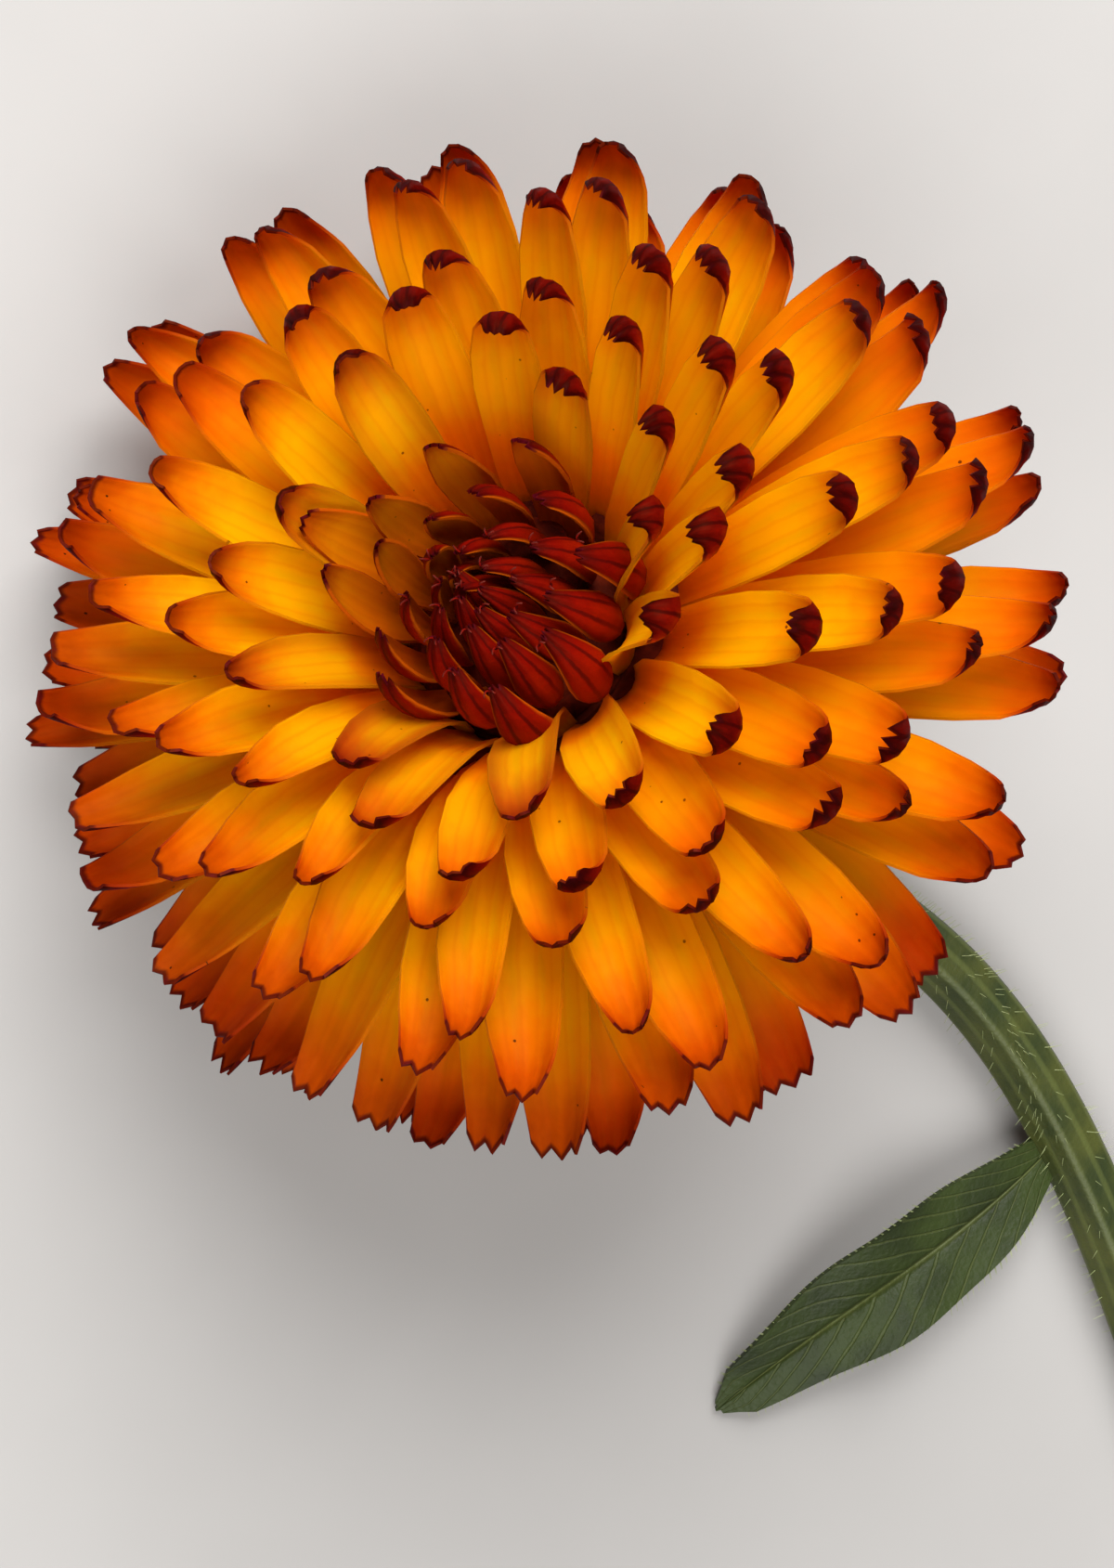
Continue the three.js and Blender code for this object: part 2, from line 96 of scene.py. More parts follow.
metres_per_pixel = HEAD_RADIUS / HEAD_RADIUS_PIXELS
camera_distance = metres_per_pixel * FRAME_PIXELS[1] * LENS_MM / SENSOR_MM
aim = (
    head_centre
    + view_right * (FRAME_PIXELS[0] / 2 - HEAD_AT_PIXEL[0]) * metres_per_pixel
    - view_up * (FRAME_PIXELS[1] / 2 - HEAD_AT_PIXEL[1]) * metres_per_pixel
)

camera_data = bpy.data.cameras.new("camera")
camera_data.lens = LENS_MM
camera_data.sensor_width = SENSOR_MM
camera_data.clip_start = 0.01
camera = bpy.data.objects.new("camera", camera_data)
camera.matrix_world = Matrix.Translation(aim + view_back * camera_distance) @ Matrix((
    (view_right.x, view_up.x, view_back.x, 0),
    (view_right.y, view_up.y, view_back.y, 0),
    (view_right.z, view_up.z, view_back.z, 0),
    (0, 0, 0, 1),
))
bpy.context.scene.collection.objects.link(camera)
bpy.context.scene.camera = camera
print("camera", round(camera_distance, 3), "m from the head")

# %% [markdown]
# ## Wiring helper
#
# Every finish here is a small tree of shader nodes. One helper adds a node, sets its options and
# fills its inputs, each with a plain value or with another node's output, so that the trees below
# read from top to bottom like a recipe. An input is given by its name, with _ for a space, or by
# its number after the letter i. The smaller helpers wrap the steps that come back often, such as
# glazing one colour over another, or turning a height into relief.

# %% Wiring helper
def add_node(tree, kind, options=None, **inputs):
    node = tree.nodes.new(kind)
    for name, value in (options or {}).items():
        setattr(node, name, value)
    for name, value in inputs.items():
        key = int(name[1:]) if name[0] == "i" and name[1:].isdigit() else name.replace("_", " ")
        if isinstance(value, bpy.types.NodeSocket):
            tree.links.new(value, node.inputs[key])
        else:
            node.inputs[key].default_value = value
    return node


def math_node(tree, operation, first, second=0.0, third=0.0):
    options = {"operation": operation}
    return add_node(tree, "ShaderNodeMath", options, i0=first, i1=second, i2=third).outputs[0]


def fade(tree, value, start, end):
    options = {"interpolation_type": "SMOOTHSTEP", "clamp": True}
    inputs = {"Value": value, "From_Min": start, "From_Max": end}
    return add_node(tree, "ShaderNodeMapRange", options, **inputs).outputs["Result"]


def blend_colours(tree, amount, first, second, mode="MIX"):
    node = add_node(tree, "ShaderNodeMix", {"data_type": "RGBA", "blend_type": mode})
    for key, value in ((0, amount), (6, first), (7, second)):
        if isinstance(value, bpy.types.NodeSocket):
            tree.links.new(value, node.inputs[key])
        else:
            node.inputs[key].default_value = value
    return node.outputs[2]


def colour_ramp(tree, value, stops):
    node = add_node(tree, "ShaderNodeValToRGB", Fac=value)
    ramp = node.color_ramp
    ramp.elements[0].position, ramp.elements[0].color = stops[0]
    ramp.elements[1].position, ramp.elements[1].color = stops[-1]
    for position, colour in stops[1:-1]:
        ramp.elements.new(position).color = colour
    return node.outputs["Color"]


def glaze(tree, colour, mask, share, over):
    return blend_colours(tree, math_node(tree, "MULTIPLY", mask, share), colour, over)


def relief(tree, height, depth, strength=1.0):
    inputs = {"Strength": strength, "Distance": depth, "Height": height}
    return add_node(tree, "ShaderNodeBump", **inputs).outputs["Normal"]


def object_noise(tree, scale, detail=2.0):
    place = add_node(tree, "ShaderNodeTexCoord").outputs["Object"]
    return add_node(tree, "ShaderNodeTexNoise", Vector=place, Scale=scale, Detail=detail).outputs["Fac"]


def map_shares(tree, map_name):
    spot = add_node(tree, "ShaderNodeUVMap", {"uv_map": map_name}).outputs["UV"]
    shares = add_node(tree, "ShaderNodeSeparateXYZ", Vector=spot).outputs
    return shares["X"], shares["Y"]


def kept_number(tree, name):
    return add_node(tree, "ShaderNodeAttribute", {"attribute_name": name}).outputs["Fac"]


def start_material(name):
    material = bpy.data.materials.new(name)
    material.use_nodes = True
    tree = material.node_tree
    tree.nodes.clear()
    return material, tree


def finish_surface(tree, shader):
    output = add_node(tree, "ShaderNodeOutputMaterial")
    tree.links.new(shader, output.inputs["Surface"])


def plain_surface(tree, **inputs):
    finish_surface(tree, add_node(tree, "ShaderNodeBsdfPrincipled", **inputs).outputs[0])

# %% [markdown]
# ## Marks that every petal carries
#
# Seen close, a petal has soft lengthwise ribs with fine veins between them, a thin dark rim near
# the tip, small dark specks and a shade of its own. They could be painted as an image, but then
# each petal would look the same. Here they are worked out from the petal's own map, which runs
# from 0 to 1 across it and from root to tip along it, and from one number kept with each petal.
# The marks are a node group, because the faces and the backs of all petals use them.

# %% Petal marks group
TONE_SHIFT = 37.0
SPECK_SIZE = 0.09
SPECK_SHARE = 0.1
RIB_WANDER = 0.07
RIM_FADE = 0.35
RIM_END = 0.985
TEETH_WANDER = 0.02
TEETH_SPAN = (0.986, 1.004)


def petal_mottle(group, across, along, tone_and_shade):
    shift = math_node(group, "MULTIPLY", tone_and_shade, TONE_SHIFT)
    place = add_node(group, "ShaderNodeCombineXYZ", X=math_node(group, "ADD", across, shift),
                     Y=math_node(group, "MULTIPLY", along, 4.0), Z=shift)
    return add_node(group, "ShaderNodeTexNoise", Vector=place.outputs[0], Scale=3.0,
                    Detail=4.0, Roughness=0.6).outputs["Fac"]


def petal_specks(group, across, along, tone_and_shade):
    place = add_node(group, "ShaderNodeCombineXYZ", X=math_node(group, "MULTIPLY", across, 5.0),
                     Y=math_node(group, "MULTIPLY", along, 22.0),
                     Z=math_node(group, "MULTIPLY", tone_and_shade, 50.0))
    cells = add_node(group, "ShaderNodeTexVoronoi", Vector=place.outputs[0], Scale=0.9)
    near = math_node(group, "LESS_THAN", cells.outputs["Distance"], SPECK_SIZE)
    drawn = add_node(group, "ShaderNodeSeparateColor", Color=cells.outputs["Color"]).outputs[0]
    chosen = math_node(group, "GREATER_THAN", drawn, 1 - SPECK_SHARE)
    return math_node(group, "MULTIPLY", near, chosen)


def petal_marks_group():
    group = bpy.data.node_groups.new("petal_marks", "ShaderNodeTree")
    for name in ("Rib Count", "Rim Width", "Rim From"):
        group.interface.new_socket(name, in_out="INPUT", socket_type="NodeSocketFloat")
    for name in ("Along", "Edge", "Ribs", "Veins", "Rim", "Teeth", "Specks", "Mottle"):
        group.interface.new_socket(name, in_out="OUTPUT", socket_type="NodeSocketFloat")
    given = group.nodes.new("NodeGroupInput").outputs
    result = group.nodes.new("NodeGroupOutput").inputs
    across, along = map_shares(group, "petal")
    tone_and_shade = kept_number(group, "tone_and_shade")
    mottle = petal_mottle(group, across, along, tone_and_shade)
    wander = math_node(group, "MULTIPLY_ADD", mottle, RIB_WANDER, across)
    turns = math_node(group, "MULTIPLY", wander, given["Rib Count"])
    ribs = math_node(group, "COSINE", math_node(group, "MULTIPLY", turns, 2 * math.pi))
    edge = math_node(group, "ABSOLUTE", math_node(group, "MULTIPLY_ADD", across, 2.0, -1.0))
    rim_share = math_node(group, "SUBTRACT", along, given["Rim From"])
    reach = math_node(group, "MULTIPLY", fade(group, rim_share, 0.0, RIM_FADE), given["Rim Width"])
    rim_start = math_node(group, "SUBTRACT", RIM_END, reach)
    tips = fade(group, math_node(group, "MULTIPLY_ADD", mottle, TEETH_WANDER, along), *TEETH_SPAN)
    outputs = {
        "Along": along, "Edge": edge, "Ribs": ribs, "Veins": fade(group, ribs, 0.55, 1.0),
        "Rim": fade(group, edge, rim_start, 1.0), "Teeth": tips,
        "Specks": petal_specks(group, across, along, tone_and_shade), "Mottle": mottle,
    }
    for name, socket in outputs.items():
        group.links.new(socket, result[name])
    return group


PETAL_MARKS = petal_marks_group()


def petal_marks(tree, rib_count, rim_width, rim_from):
    inputs = {"Rib_Count": rib_count, "Rim_Width": rim_width, "Rim_From": rim_from}
    return add_node(tree, "ShaderNodeGroup", {"node_tree": PETAL_MARKS}, **inputs).outputs

# %% [markdown]
# ## Petal sheet
#
# A petal is a thin wet sheet. A plain glossy surface would look like plastic, so a share of the
# Translucent shader lets the light behind a petal brighten its front, as in the photograph, where
# the upper petals glow. The Principled shader gives the satin gloss on top, tinted orange so that
# its highlights don't turn white. Petal faces, petal backs and the leaf end in this pair.

# %% Petal sheet
GLOSS_TINT = (1.0, 0.5, 0.2, 1)
PETAL_RELIEF = 0.00004


def thin_sheet(tree, colour, glow_colour, normal, gloss, roughness, glow, gloss_tint=GLOSS_TINT):
    surface = add_node(tree, "ShaderNodeBsdfPrincipled", Base_Color=colour, Roughness=roughness,
                       Specular_IOR_Level=gloss, Specular_Tint=gloss_tint, Normal=normal)
    through = add_node(tree, "ShaderNodeBsdfTranslucent", Color=glow_colour, Normal=normal)
    mixed = add_node(tree, "ShaderNodeMixShader", i0=glow, i1=surface.outputs[0],
                     i2=through.outputs[0])
    finish_surface(tree, mixed.outputs[0])

# %% [markdown]
# ## Petal faces
#
# The face is brown-orange at the root, painted shade where the petals pass under one another,
# bright yellow-orange along its middle and deeper orange towards the tip, partly its own colour
# and partly painted shade of the hooked tips. A thin crimson rim and dark teeth end it, with a
# painted violet reflection here and there. The innermost petals turn crimson from their edges
# inwards, by the "dark" number kept with each petal, and a kept number of tone and shade makes
# some petals deeper than others: at random, and as painted shade on the outer rows. A ramp along
# the petal sets the ground colour, and each mark is then glazed over it in turn, as a painter would
# do it.

# %% Petal face
BLADE_YELLOW = (1.0, 0.58, 0.0004, 1)
BLADE_ORANGE = (1.0, 0.28, 0.0003, 1)
# The root brown is painted shade where the petals pass under one another; the deep and tip oranges are
# the tip's own deeper orange with painted shade of the hooks.
DEEP_ORANGE_AND_SHADE = (0.88, 0.145, 0.0003, 1)
TIP_ORANGE_AND_SHADE = (0.72, 0.10, 0.0003, 1)
ROOT_SHADE_BROWN = (0.50, 0.08, 0.0003, 1)
RIM_CRIMSON = (0.20, 0.008, 0.003, 1)
TOOTH_DARK = (0.075, 0.002, 0.003, 1)
FACE_CRIMSON = (0.27, 0.008, 0.003, 1)
SPECK_BROWN = (0.06, 0.01, 0.002, 1)
# A painted reflection: violet glints laid over some teeth.
VIOLET_PAINTED_REFLECTION = (0.30, 0.012, 0.06, 1)
GLOW_YELLOW = (1.0, 0.74, 0.0004, 1)
DEEPER_TONE_AND_SHADE = (0.86, 0.44, 0.5, 1)
FACE_RIBS = 5.0
FACE_TIP_SPAN = (0.8, 0.98)
TONE_AND_SHADE_SPAN = (-0.3, 1.2)


def ground_colour(tree, marks, stops, sway):
    swayed = math_node(tree, "MULTIPLY_ADD", marks["Mottle"], sway, marks["Along"])
    return colour_ramp(tree, math_node(tree, "SUBTRACT", swayed, sway / 2), stops)


def glow_tint(tree, colour, along, tip_span, share):
    pale = math_node(tree, "MULTIPLY_ADD", fade(tree, along, *tip_span), -share, share)
    return blend_colours(tree, pale, colour, GLOW_YELLOW)


def petal_face(name, stops, glow_share):
    material, tree = start_material(name)
    marks = petal_marks(tree, FACE_RIBS, rim_width=0.03, rim_from=0.7)
    colour = ground_colour(tree, marks, stops, sway=0.16)
    # Deepen petals by their kept tone number: at random, and as painted shade on the outer rows.
    deeper_and_shaded = blend_colours(tree, 1.0, colour, DEEPER_TONE_AND_SHADE, "MULTIPLY")
    colour = blend_colours(tree, fade(tree, kept_number(tree, "tone_and_shade"), *TONE_AND_SHADE_SPAN), colour, deeper_and_shaded)
    colour = glaze(tree, colour, marks["Veins"], 0.18, TIP_ORANGE_AND_SHADE)
    near_edge = fade(tree, marks["Edge"], 0.25, 0.95)
    near_tip = fade(tree, marks["Along"], 0.6, 0.92)
    darkened = math_node(tree, "MAXIMUM", near_edge, near_tip)
    darkened = math_node(tree, "MULTIPLY_ADD", darkened, 0.65, 0.35)
    colour = glaze(tree, colour, darkened, kept_number(tree, "dark"), FACE_CRIMSON)
    colour = glaze(tree, colour, marks["Rim"], 0.5, RIM_CRIMSON)
    colour = glaze(tree, colour, marks["Teeth"], 0.85, TOOTH_DARK)
    # Painted reflection: a violet glint on some teeth.
    painted_reflection = math_node(tree, "MULTIPLY", marks["Teeth"], fade(tree, marks["Mottle"], 0.5, 0.66))
    colour = glaze(tree, colour, painted_reflection, 0.15, VIOLET_PAINTED_REFLECTION)
    colour = blend_colours(tree, marks["Specks"], colour, SPECK_BROWN)
    height = math_node(tree, "MULTIPLY_ADD", marks["Ribs"], 0.3, marks["Mottle"])
    glow_colour = glow_tint(tree, colour, marks["Along"], FACE_TIP_SPAN, glow_share)
    normal = relief(tree, height, PETAL_RELIEF)
    thin_sheet(tree, colour, glow_colour, normal, gloss=0.15, roughness=0.5, glow=0.6)
    return material


# Along the face: painted shade at the root, yellow in the middle, own deeper orange with painted shade
# towards the tip.
RAY_FACE_STOPS = [
    (0.0, ROOT_SHADE_BROWN), (0.16, DEEP_ORANGE_AND_SHADE), (0.32, BLADE_ORANGE), (0.46, BLADE_YELLOW),
    (0.64, BLADE_YELLOW), (0.80, BLADE_ORANGE), (0.91, DEEP_ORANGE_AND_SHADE), (0.98, TIP_ORANGE_AND_SHADE),
    (1.0, (0.66, 0.08, 0.001, 1)),
]
MIDDLE_FACE_STOPS = [
    (0.0, ROOT_SHADE_BROWN), (0.3, (0.95, 0.22, 0.001, 1)), (0.7, (1.0, 0.30, 0.001, 1)),
    (1.0, (0.72, 0.08, 0.001, 1)),
]
PETAL_FACE = petal_face("ray petal face", RAY_FACE_STOPS, glow_share=0.6)
MIDDLE_FACE = petal_face("middle petal face", MIDDLE_FACE_STOPS, glow_share=0.5)

# %% [markdown]
# ## Petal backs
#
# The back is orange near the root and deep crimson with darker lengthwise stripes towards the tip,
# so it shows wherever a tip hooks over. The middle petals are crimson over their whole backs, with
# thin orange margins.

# %% Petal back
BACK_CRIMSON = (0.21, 0.004, 0.001, 1)
BACK_STRIPE = (0.045, 0.001, 0.001, 1)
BACK_ORANGE = (0.66, 0.11, 0.001, 1)
MIDDLE_MARGIN = (0.42, 0.07, 0.001, 1)
BACK_RIBS = 3.0
BACK_TIP_SPAN = (0.66, 0.88)


def petal_back(name, stops, rim, rim_colour, painted_reflection_share, glow, glow_share):
    material, tree = start_material(name)
    marks = petal_marks(tree, BACK_RIBS, *rim)
    colour = ground_colour(tree, marks, stops, sway=0.2)
    stripes = math_node(tree, "MULTIPLY", marks["Veins"], fade(tree, marks["Along"], 0.1, 0.7))
    colour = glaze(tree, colour, stripes, 0.8, BACK_STRIPE)
    colour = glaze(tree, colour, marks["Rim"], 0.8, rim_colour)
    colour = glaze(tree, colour, marks["Teeth"], 0.6, BACK_STRIPE)
    # Painted reflection: a violet glint on some teeth.
    painted_reflection = math_node(tree, "MULTIPLY", marks["Teeth"], fade(tree, marks["Mottle"], 0.42, 0.62))
    colour = glaze(tree, colour, painted_reflection, painted_reflection_share, VIOLET_PAINTED_REFLECTION)
    height = math_node(tree, "MULTIPLY_ADD", marks["Ribs"], -1.2, marks["Mottle"])
    glow_colour = glow_tint(tree, colour, marks["Along"], BACK_TIP_SPAN, glow_share)
    normal = relief(tree, height, PETAL_RELIEF)
    thin_sheet(tree, colour, glow_colour, normal, gloss=0.07, roughness=0.5, glow=glow)
    return material


RAY_BACK_STOPS = [
    (0.0, BACK_ORANGE), (0.58, BACK_ORANGE), (0.8, (0.42, 0.025, 0.001, 1)),
    (0.89, BACK_CRIMSON), (0.96, (0.10, 0.002, 0.001, 1)), (1.0, (0.04, 0.001, 0.001, 1)),
]
MIDDLE_BACK_STOPS = [
    (0.0, (0.38, 0.035, 0.001, 1)), (0.5, (0.26, 0.008, 0.0005, 1)),
    (0.8, (0.15, 0.002, 0.0005, 1)), (1.0, (0.045, 0.001, 0.001, 1)),
]
PETAL_BACK = petal_back("ray petal back", RAY_BACK_STOPS, rim=(0.03, 0.78), rim_colour=BACK_STRIPE,
                        painted_reflection_share=0.05, glow=0.6, glow_share=0.8)
MIDDLE_BACK = petal_back("middle petal back", MIDDLE_BACK_STOPS, rim=(0.16, -0.4),
                         rim_colour=MIDDLE_MARGIN, painted_reflection_share=0.1, glow=0.15, glow_share=0.0)

# %% [markdown]
# ## How a petal is placed
#
# Florets sit on the receptacle a golden angle apart, as on the real head, numbered from the middle
# outwards. Each one's middle line is two arcs: a long one for the blade and a tight one for the
# hooked tip. A flat grid is laid along that line, narrowed at the root, rolled a little across its
# width, turned a little about the line, and pulled into three teeth at the end. Near the table the
# petals bend up softly, because the head's weight presses them flat. What varies from petal to
# petal comes from an even spread of fractions, which gives the same flower on each run.

# %% Petal curves
GOLDEN_ANGLE = math.pi * (3 - math.sqrt(5))
HOOK_START = 0.8
BEND_FROM = 2.0
LOWEST_MIDDLE_LINE = 0.14
SURFACE_UP = Vector((0, math.cos(FACE_RISE), math.sin(FACE_RISE)))
NUMBER_STEP = 0.754877666
SALT_STEP = 0.569840291


def spread(number, salt):
    value = number * NUMBER_STEP + salt * SALT_STEP
    return 2 * (value - math.floor(value)) - 1


def mix(start, end, share):
    return start + (end - start) * share


def swell(t, root_share, widest_at):
    return root_share + (1 - root_share) * math.sin(min(t / widest_at, 1) * math.pi / 2)


def beyond(t, start):
    return max(0.0, (t - start) / (1 - start))


def along_arc(start, angle, turn, length, share):
    end = angle + turn * share
    bend = turn / length
    out = start[0] + (math.cos(angle) - math.cos(end)) / bend
    up = start[1] + (math.sin(end) - math.sin(angle)) / bend
    return (out, up), end


def along_floret(floret, t):
    blade = floret["length"] * HOOK_START
    share = min(t / HOOK_START, 1)
    point, angle = along_arc(floret["root"], floret["start_angle"], floret["bend"], blade, share)
    if t > HOOK_START:
        hook = floret["length"] - blade
        point, angle = along_arc(point, angle, -floret["curl"], hook, beyond(t, HOOK_START))
    return point, angle


def lift_off_surface(point):
    height = HEAD_RAISED + point.dot(SURFACE_UP)
    if height >= BEND_FROM:
        return point
    room = BEND_FROM - LOWEST_MIDDLE_LINE
    lifted = LOWEST_MIDDLE_LINE + room * math.exp((height - BEND_FROM) / room)
    return point + SURFACE_UP * (lifted - height)


def on_floret(floret, t, s):
    (out, up), angle = along_floret(floret, t)
    azimuth = floret["azimuth"] + floret["lean"] * t
    outward = Vector((math.cos(azimuth), math.sin(azimuth), 0))
    along = outward * math.sin(angle) + Vector((0, 0, math.cos(angle)))
    across = Vector((math.sin(azimuth), -math.cos(azimuth), 0))
    across.rotate(Matrix.Rotation(floret["twist"] * t, 3, along))
    normal = across.cross(along).normalized()
    half_width = floret["half_width"](t)
    roll = floret["roll"](t)
    ripple = floret["ripple"] * s * s * math.sin(9 * t + 2 * s + azimuth)
    point = outward * out + Vector((0, 0, up))
    point += across * (half_width * math.sin(s * roll) / roll)
    point += normal * (half_width * (1 - math.cos(s * roll)) / roll + ripple)
    return point

# %% [markdown]
# ## Laying the grids
#
# One mesh holds a whole ring of petals. For each petal, the grid operator lays a small flat patch
# of a few dozen faces. Its own rows and columns give each point's share along and across, which
# becomes the petal's map before the points are moved into place. A surface subdivided from a
# coarse cage would melt the teeth, so they are columns of the grid. A Solidify modifier then gives
# the sheet its thickness, with a second material for the back. It is made real at once, so that
# the creases between rim and faces can be marked sharp.

# %% Petal rings
MM_HEAD_TO_FRAME = MM_TO_FRAME @ HEAD_TO_TABLE
SHEET_CREASE = math.radians(50)


def add_piece(name, bm, materials, replaced=None):
    mesh = bpy.data.meshes.new(name)
    bm.to_mesh(mesh)
    bm.free()
    for material in materials:
        mesh.materials.append(material)
    piece = bpy.data.objects.new(name, mesh)
    bpy.context.scene.collection.objects.link(piece)
    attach(piece, "root")
    if replaced:
        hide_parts(replaced)
    return piece


def make_real(piece, sharp_angle):
    depsgraph = bpy.context.evaluated_depsgraph_get()
    piece.data = bpy.data.meshes.new_from_object(piece.evaluated_get(depsgraph))
    piece.modifiers.clear()
    smooth(piece, sharp_angle)


def smooth(piece, sharp_angle):
    for polygon in piece.data.polygons:
        polygon.use_smooth = True
    piece.data.set_sharp_from_angle(angle=sharp_angle)


def give_thickness(piece, thickness, rim_material):
    shell = piece.modifiers.new("thickness", "SOLIDIFY")
    shell.thickness = thickness * MM
    shell.offset = 0
    shell.material_offset = 1
    shell.material_offset_rim = rim_material
    make_real(piece, SHEET_CREASE)


def lay_strap(bm, columns, rows, tip, map_name, place):
    strap_map = bm.loops.layers.uv.get(map_name) or bm.loops.layers.uv.new(map_name)
    laid = bmesh.ops.create_grid(bm, x_segments=len(columns) - 1, y_segments=len(rows) - 1, size=1)
    shares = {}
    for vert in laid["verts"]:
        column = round((vert.co.x + 1) / 2 * (len(columns) - 1))
        row = round((vert.co.y + 1) / 2 * (len(rows) - 1))
        end = 1 - (1 - tip[column]) * beyond(rows[row], HOOK_START)
        shares[vert] = (columns[column], rows[row], rows[row] * end)
    for face in {face for vert in laid["verts"] for face in vert.link_faces}:
        for loop in face.loops:
            s, row_share, t = shares[loop.vert]
            loop[strap_map].uv = ((s + 1) / 2, row_share)
    for vert, (s, row_share, t) in shares.items():
        vert.co = place(t, s)
    return laid["verts"]


def lay_petals(name, florets, columns, rows, tip, thickness, materials, rim_material, replaced):
    bm = bmesh.new()
    tone_and_shade = bm.verts.layers.float.new("tone_and_shade")
    dark = bm.verts.layers.float.new("dark")
    for floret in florets:
        def place(t, s):
            return MM_HEAD_TO_FRAME @ floret["settle"](on_floret(floret, t, s), t)
        own_tip = [1 - (1 - share) * floret["teeth"] for share in tip]
        for vert in lay_strap(bm, columns, rows, own_tip, "petal", place):
            vert[tone_and_shade] = floret["tone_and_shade"]
            vert[dark] = floret["dark"]
    piece = add_piece(name, bm, materials, replaced)
    give_thickness(piece, thickness, rim_material)
    print(name, len(florets), "petals,", len(piece.data.polygons), "faces")
    return piece

# %% [markdown]
# ## Ray petals
#
# The head's outline is a flattened ball: the distance from its centre to a petal's tip grows from
# the rim of the middle hollow to the widest row, and stays there below it. Every number is a rule
# with a small even spread, so no two petals are alike and none is placed by hand. As in the
# photograph, the tips hook back over the faces most on one side of the head, open into shallow
# spoons with smaller teeth on another, and hang open at the bottom. The petals are made in four
# rings, from the ones round the middle to the ones the head rests on.

# %% Ray petal numbers
RAY_COUNT = 148
INNER_TIP_ANGLE = math.radians(38)
OUTER_TIP_ANGLE = math.radians(110)
FULL_REACH_ANGLE = math.radians(98)
TIP_CROWDING = 0.85
INNER_REACH = 19.3
OUTER_REACH = 30.0
RAY_WIDTHS = (4.3, 5.5)
RAY_ROOTS_OUT = (7.6, 7.8)
RAY_ROOTS_UP = (2.6, -4.2)
INNER_ROOTS_IN = 0.8
RAY_BEND = math.radians(10)
BEND_SWING = math.radians(28)
HANGING_AZIMUTH = math.radians(45)
INNER_BEND = math.radians(28)
INNER_CURL = math.radians(105)
LOWEST_CURL = math.radians(60)
CURL_SWING = math.radians(45)
CURLED_AZIMUTH = math.radians(165)
MOST_CURL = math.radians(140)
FULL_HOOD_CURL = 2.1
DARK_RAYS = 14
INNER_RAYS = 30
HOOKED_RAYS = 70
HOOKED_CURL = math.radians(70)
HOOKED_AZIMUTH = math.radians(108)
SPOONED_AZIMUTH = math.radians(304)
RAISED_MARGIN = math.radians(20)
RAISED_AZIMUTH = math.radians(135)
RAY_SPREADS = {
    "tip angle": (math.radians(3), 1), "reach": (0.04, 2), "bend": (math.radians(6), 3),
    "width": (0.06, 4), "curl": (math.radians(26), 5), "azimuth": (math.radians(4.5), 6),
    "lean": (math.radians(5), 7), "twist": (math.radians(14), 8), "channel": (0.18, 9),
    "dark": (0.2, 31), "tone_and_shade": (0.4, 33), "teeth": (0.3, 35), "narrowed": (0.1, 37),
}

# %% Ray petal rule
def varied(i, what):
    size, salt = RAY_SPREADS[what]
    return size * spread(i, salt)


def reach_at(tip_angle):
    share = min(1, (tip_angle - INNER_TIP_ANGLE) / (FULL_REACH_ANGLE - INNER_TIP_ANGLE))
    return mix(INNER_REACH, OUTER_REACH, math.sin(share * math.pi / 2))


def ray_bend(i, rank, azimuth):
    bend = RAY_BEND + INNER_BEND * (1 - rank) ** 3 + varied(i, "bend")
    return bend + BEND_SWING * math.cos(azimuth - HANGING_AZIMUTH)


def ray_curl(i, rank, azimuth):
    curl = mix(INNER_CURL, LOWEST_CURL, rank) + varied(i, "curl")
    curl = min(curl + CURL_SWING * math.cos(azimuth - CURLED_AZIMUTH), MOST_CURL)
    hooked = max(0, math.cos(azimuth - HOOKED_AZIMUTH)) ** 6
    return curl + HOOKED_CURL * hooked * max(0, 1 - i / HOOKED_RAYS)


def ray_half_width(t, width, inner, narrowed):
    tip_share = 1 - narrowed * beyond(t, 0.62) ** 1.9
    return width / 2 * swell(t, 0.4 + 0.3 * inner, 0.68) * tip_share


def ray_roll(t, channel, hooded, spooned):
    tip_roll = 0.45 + 0.55 * hooded + 0.25 * spooned
    return channel + 0.4 * (1 - t) ** 3 + tip_roll * beyond(t, 0.45)


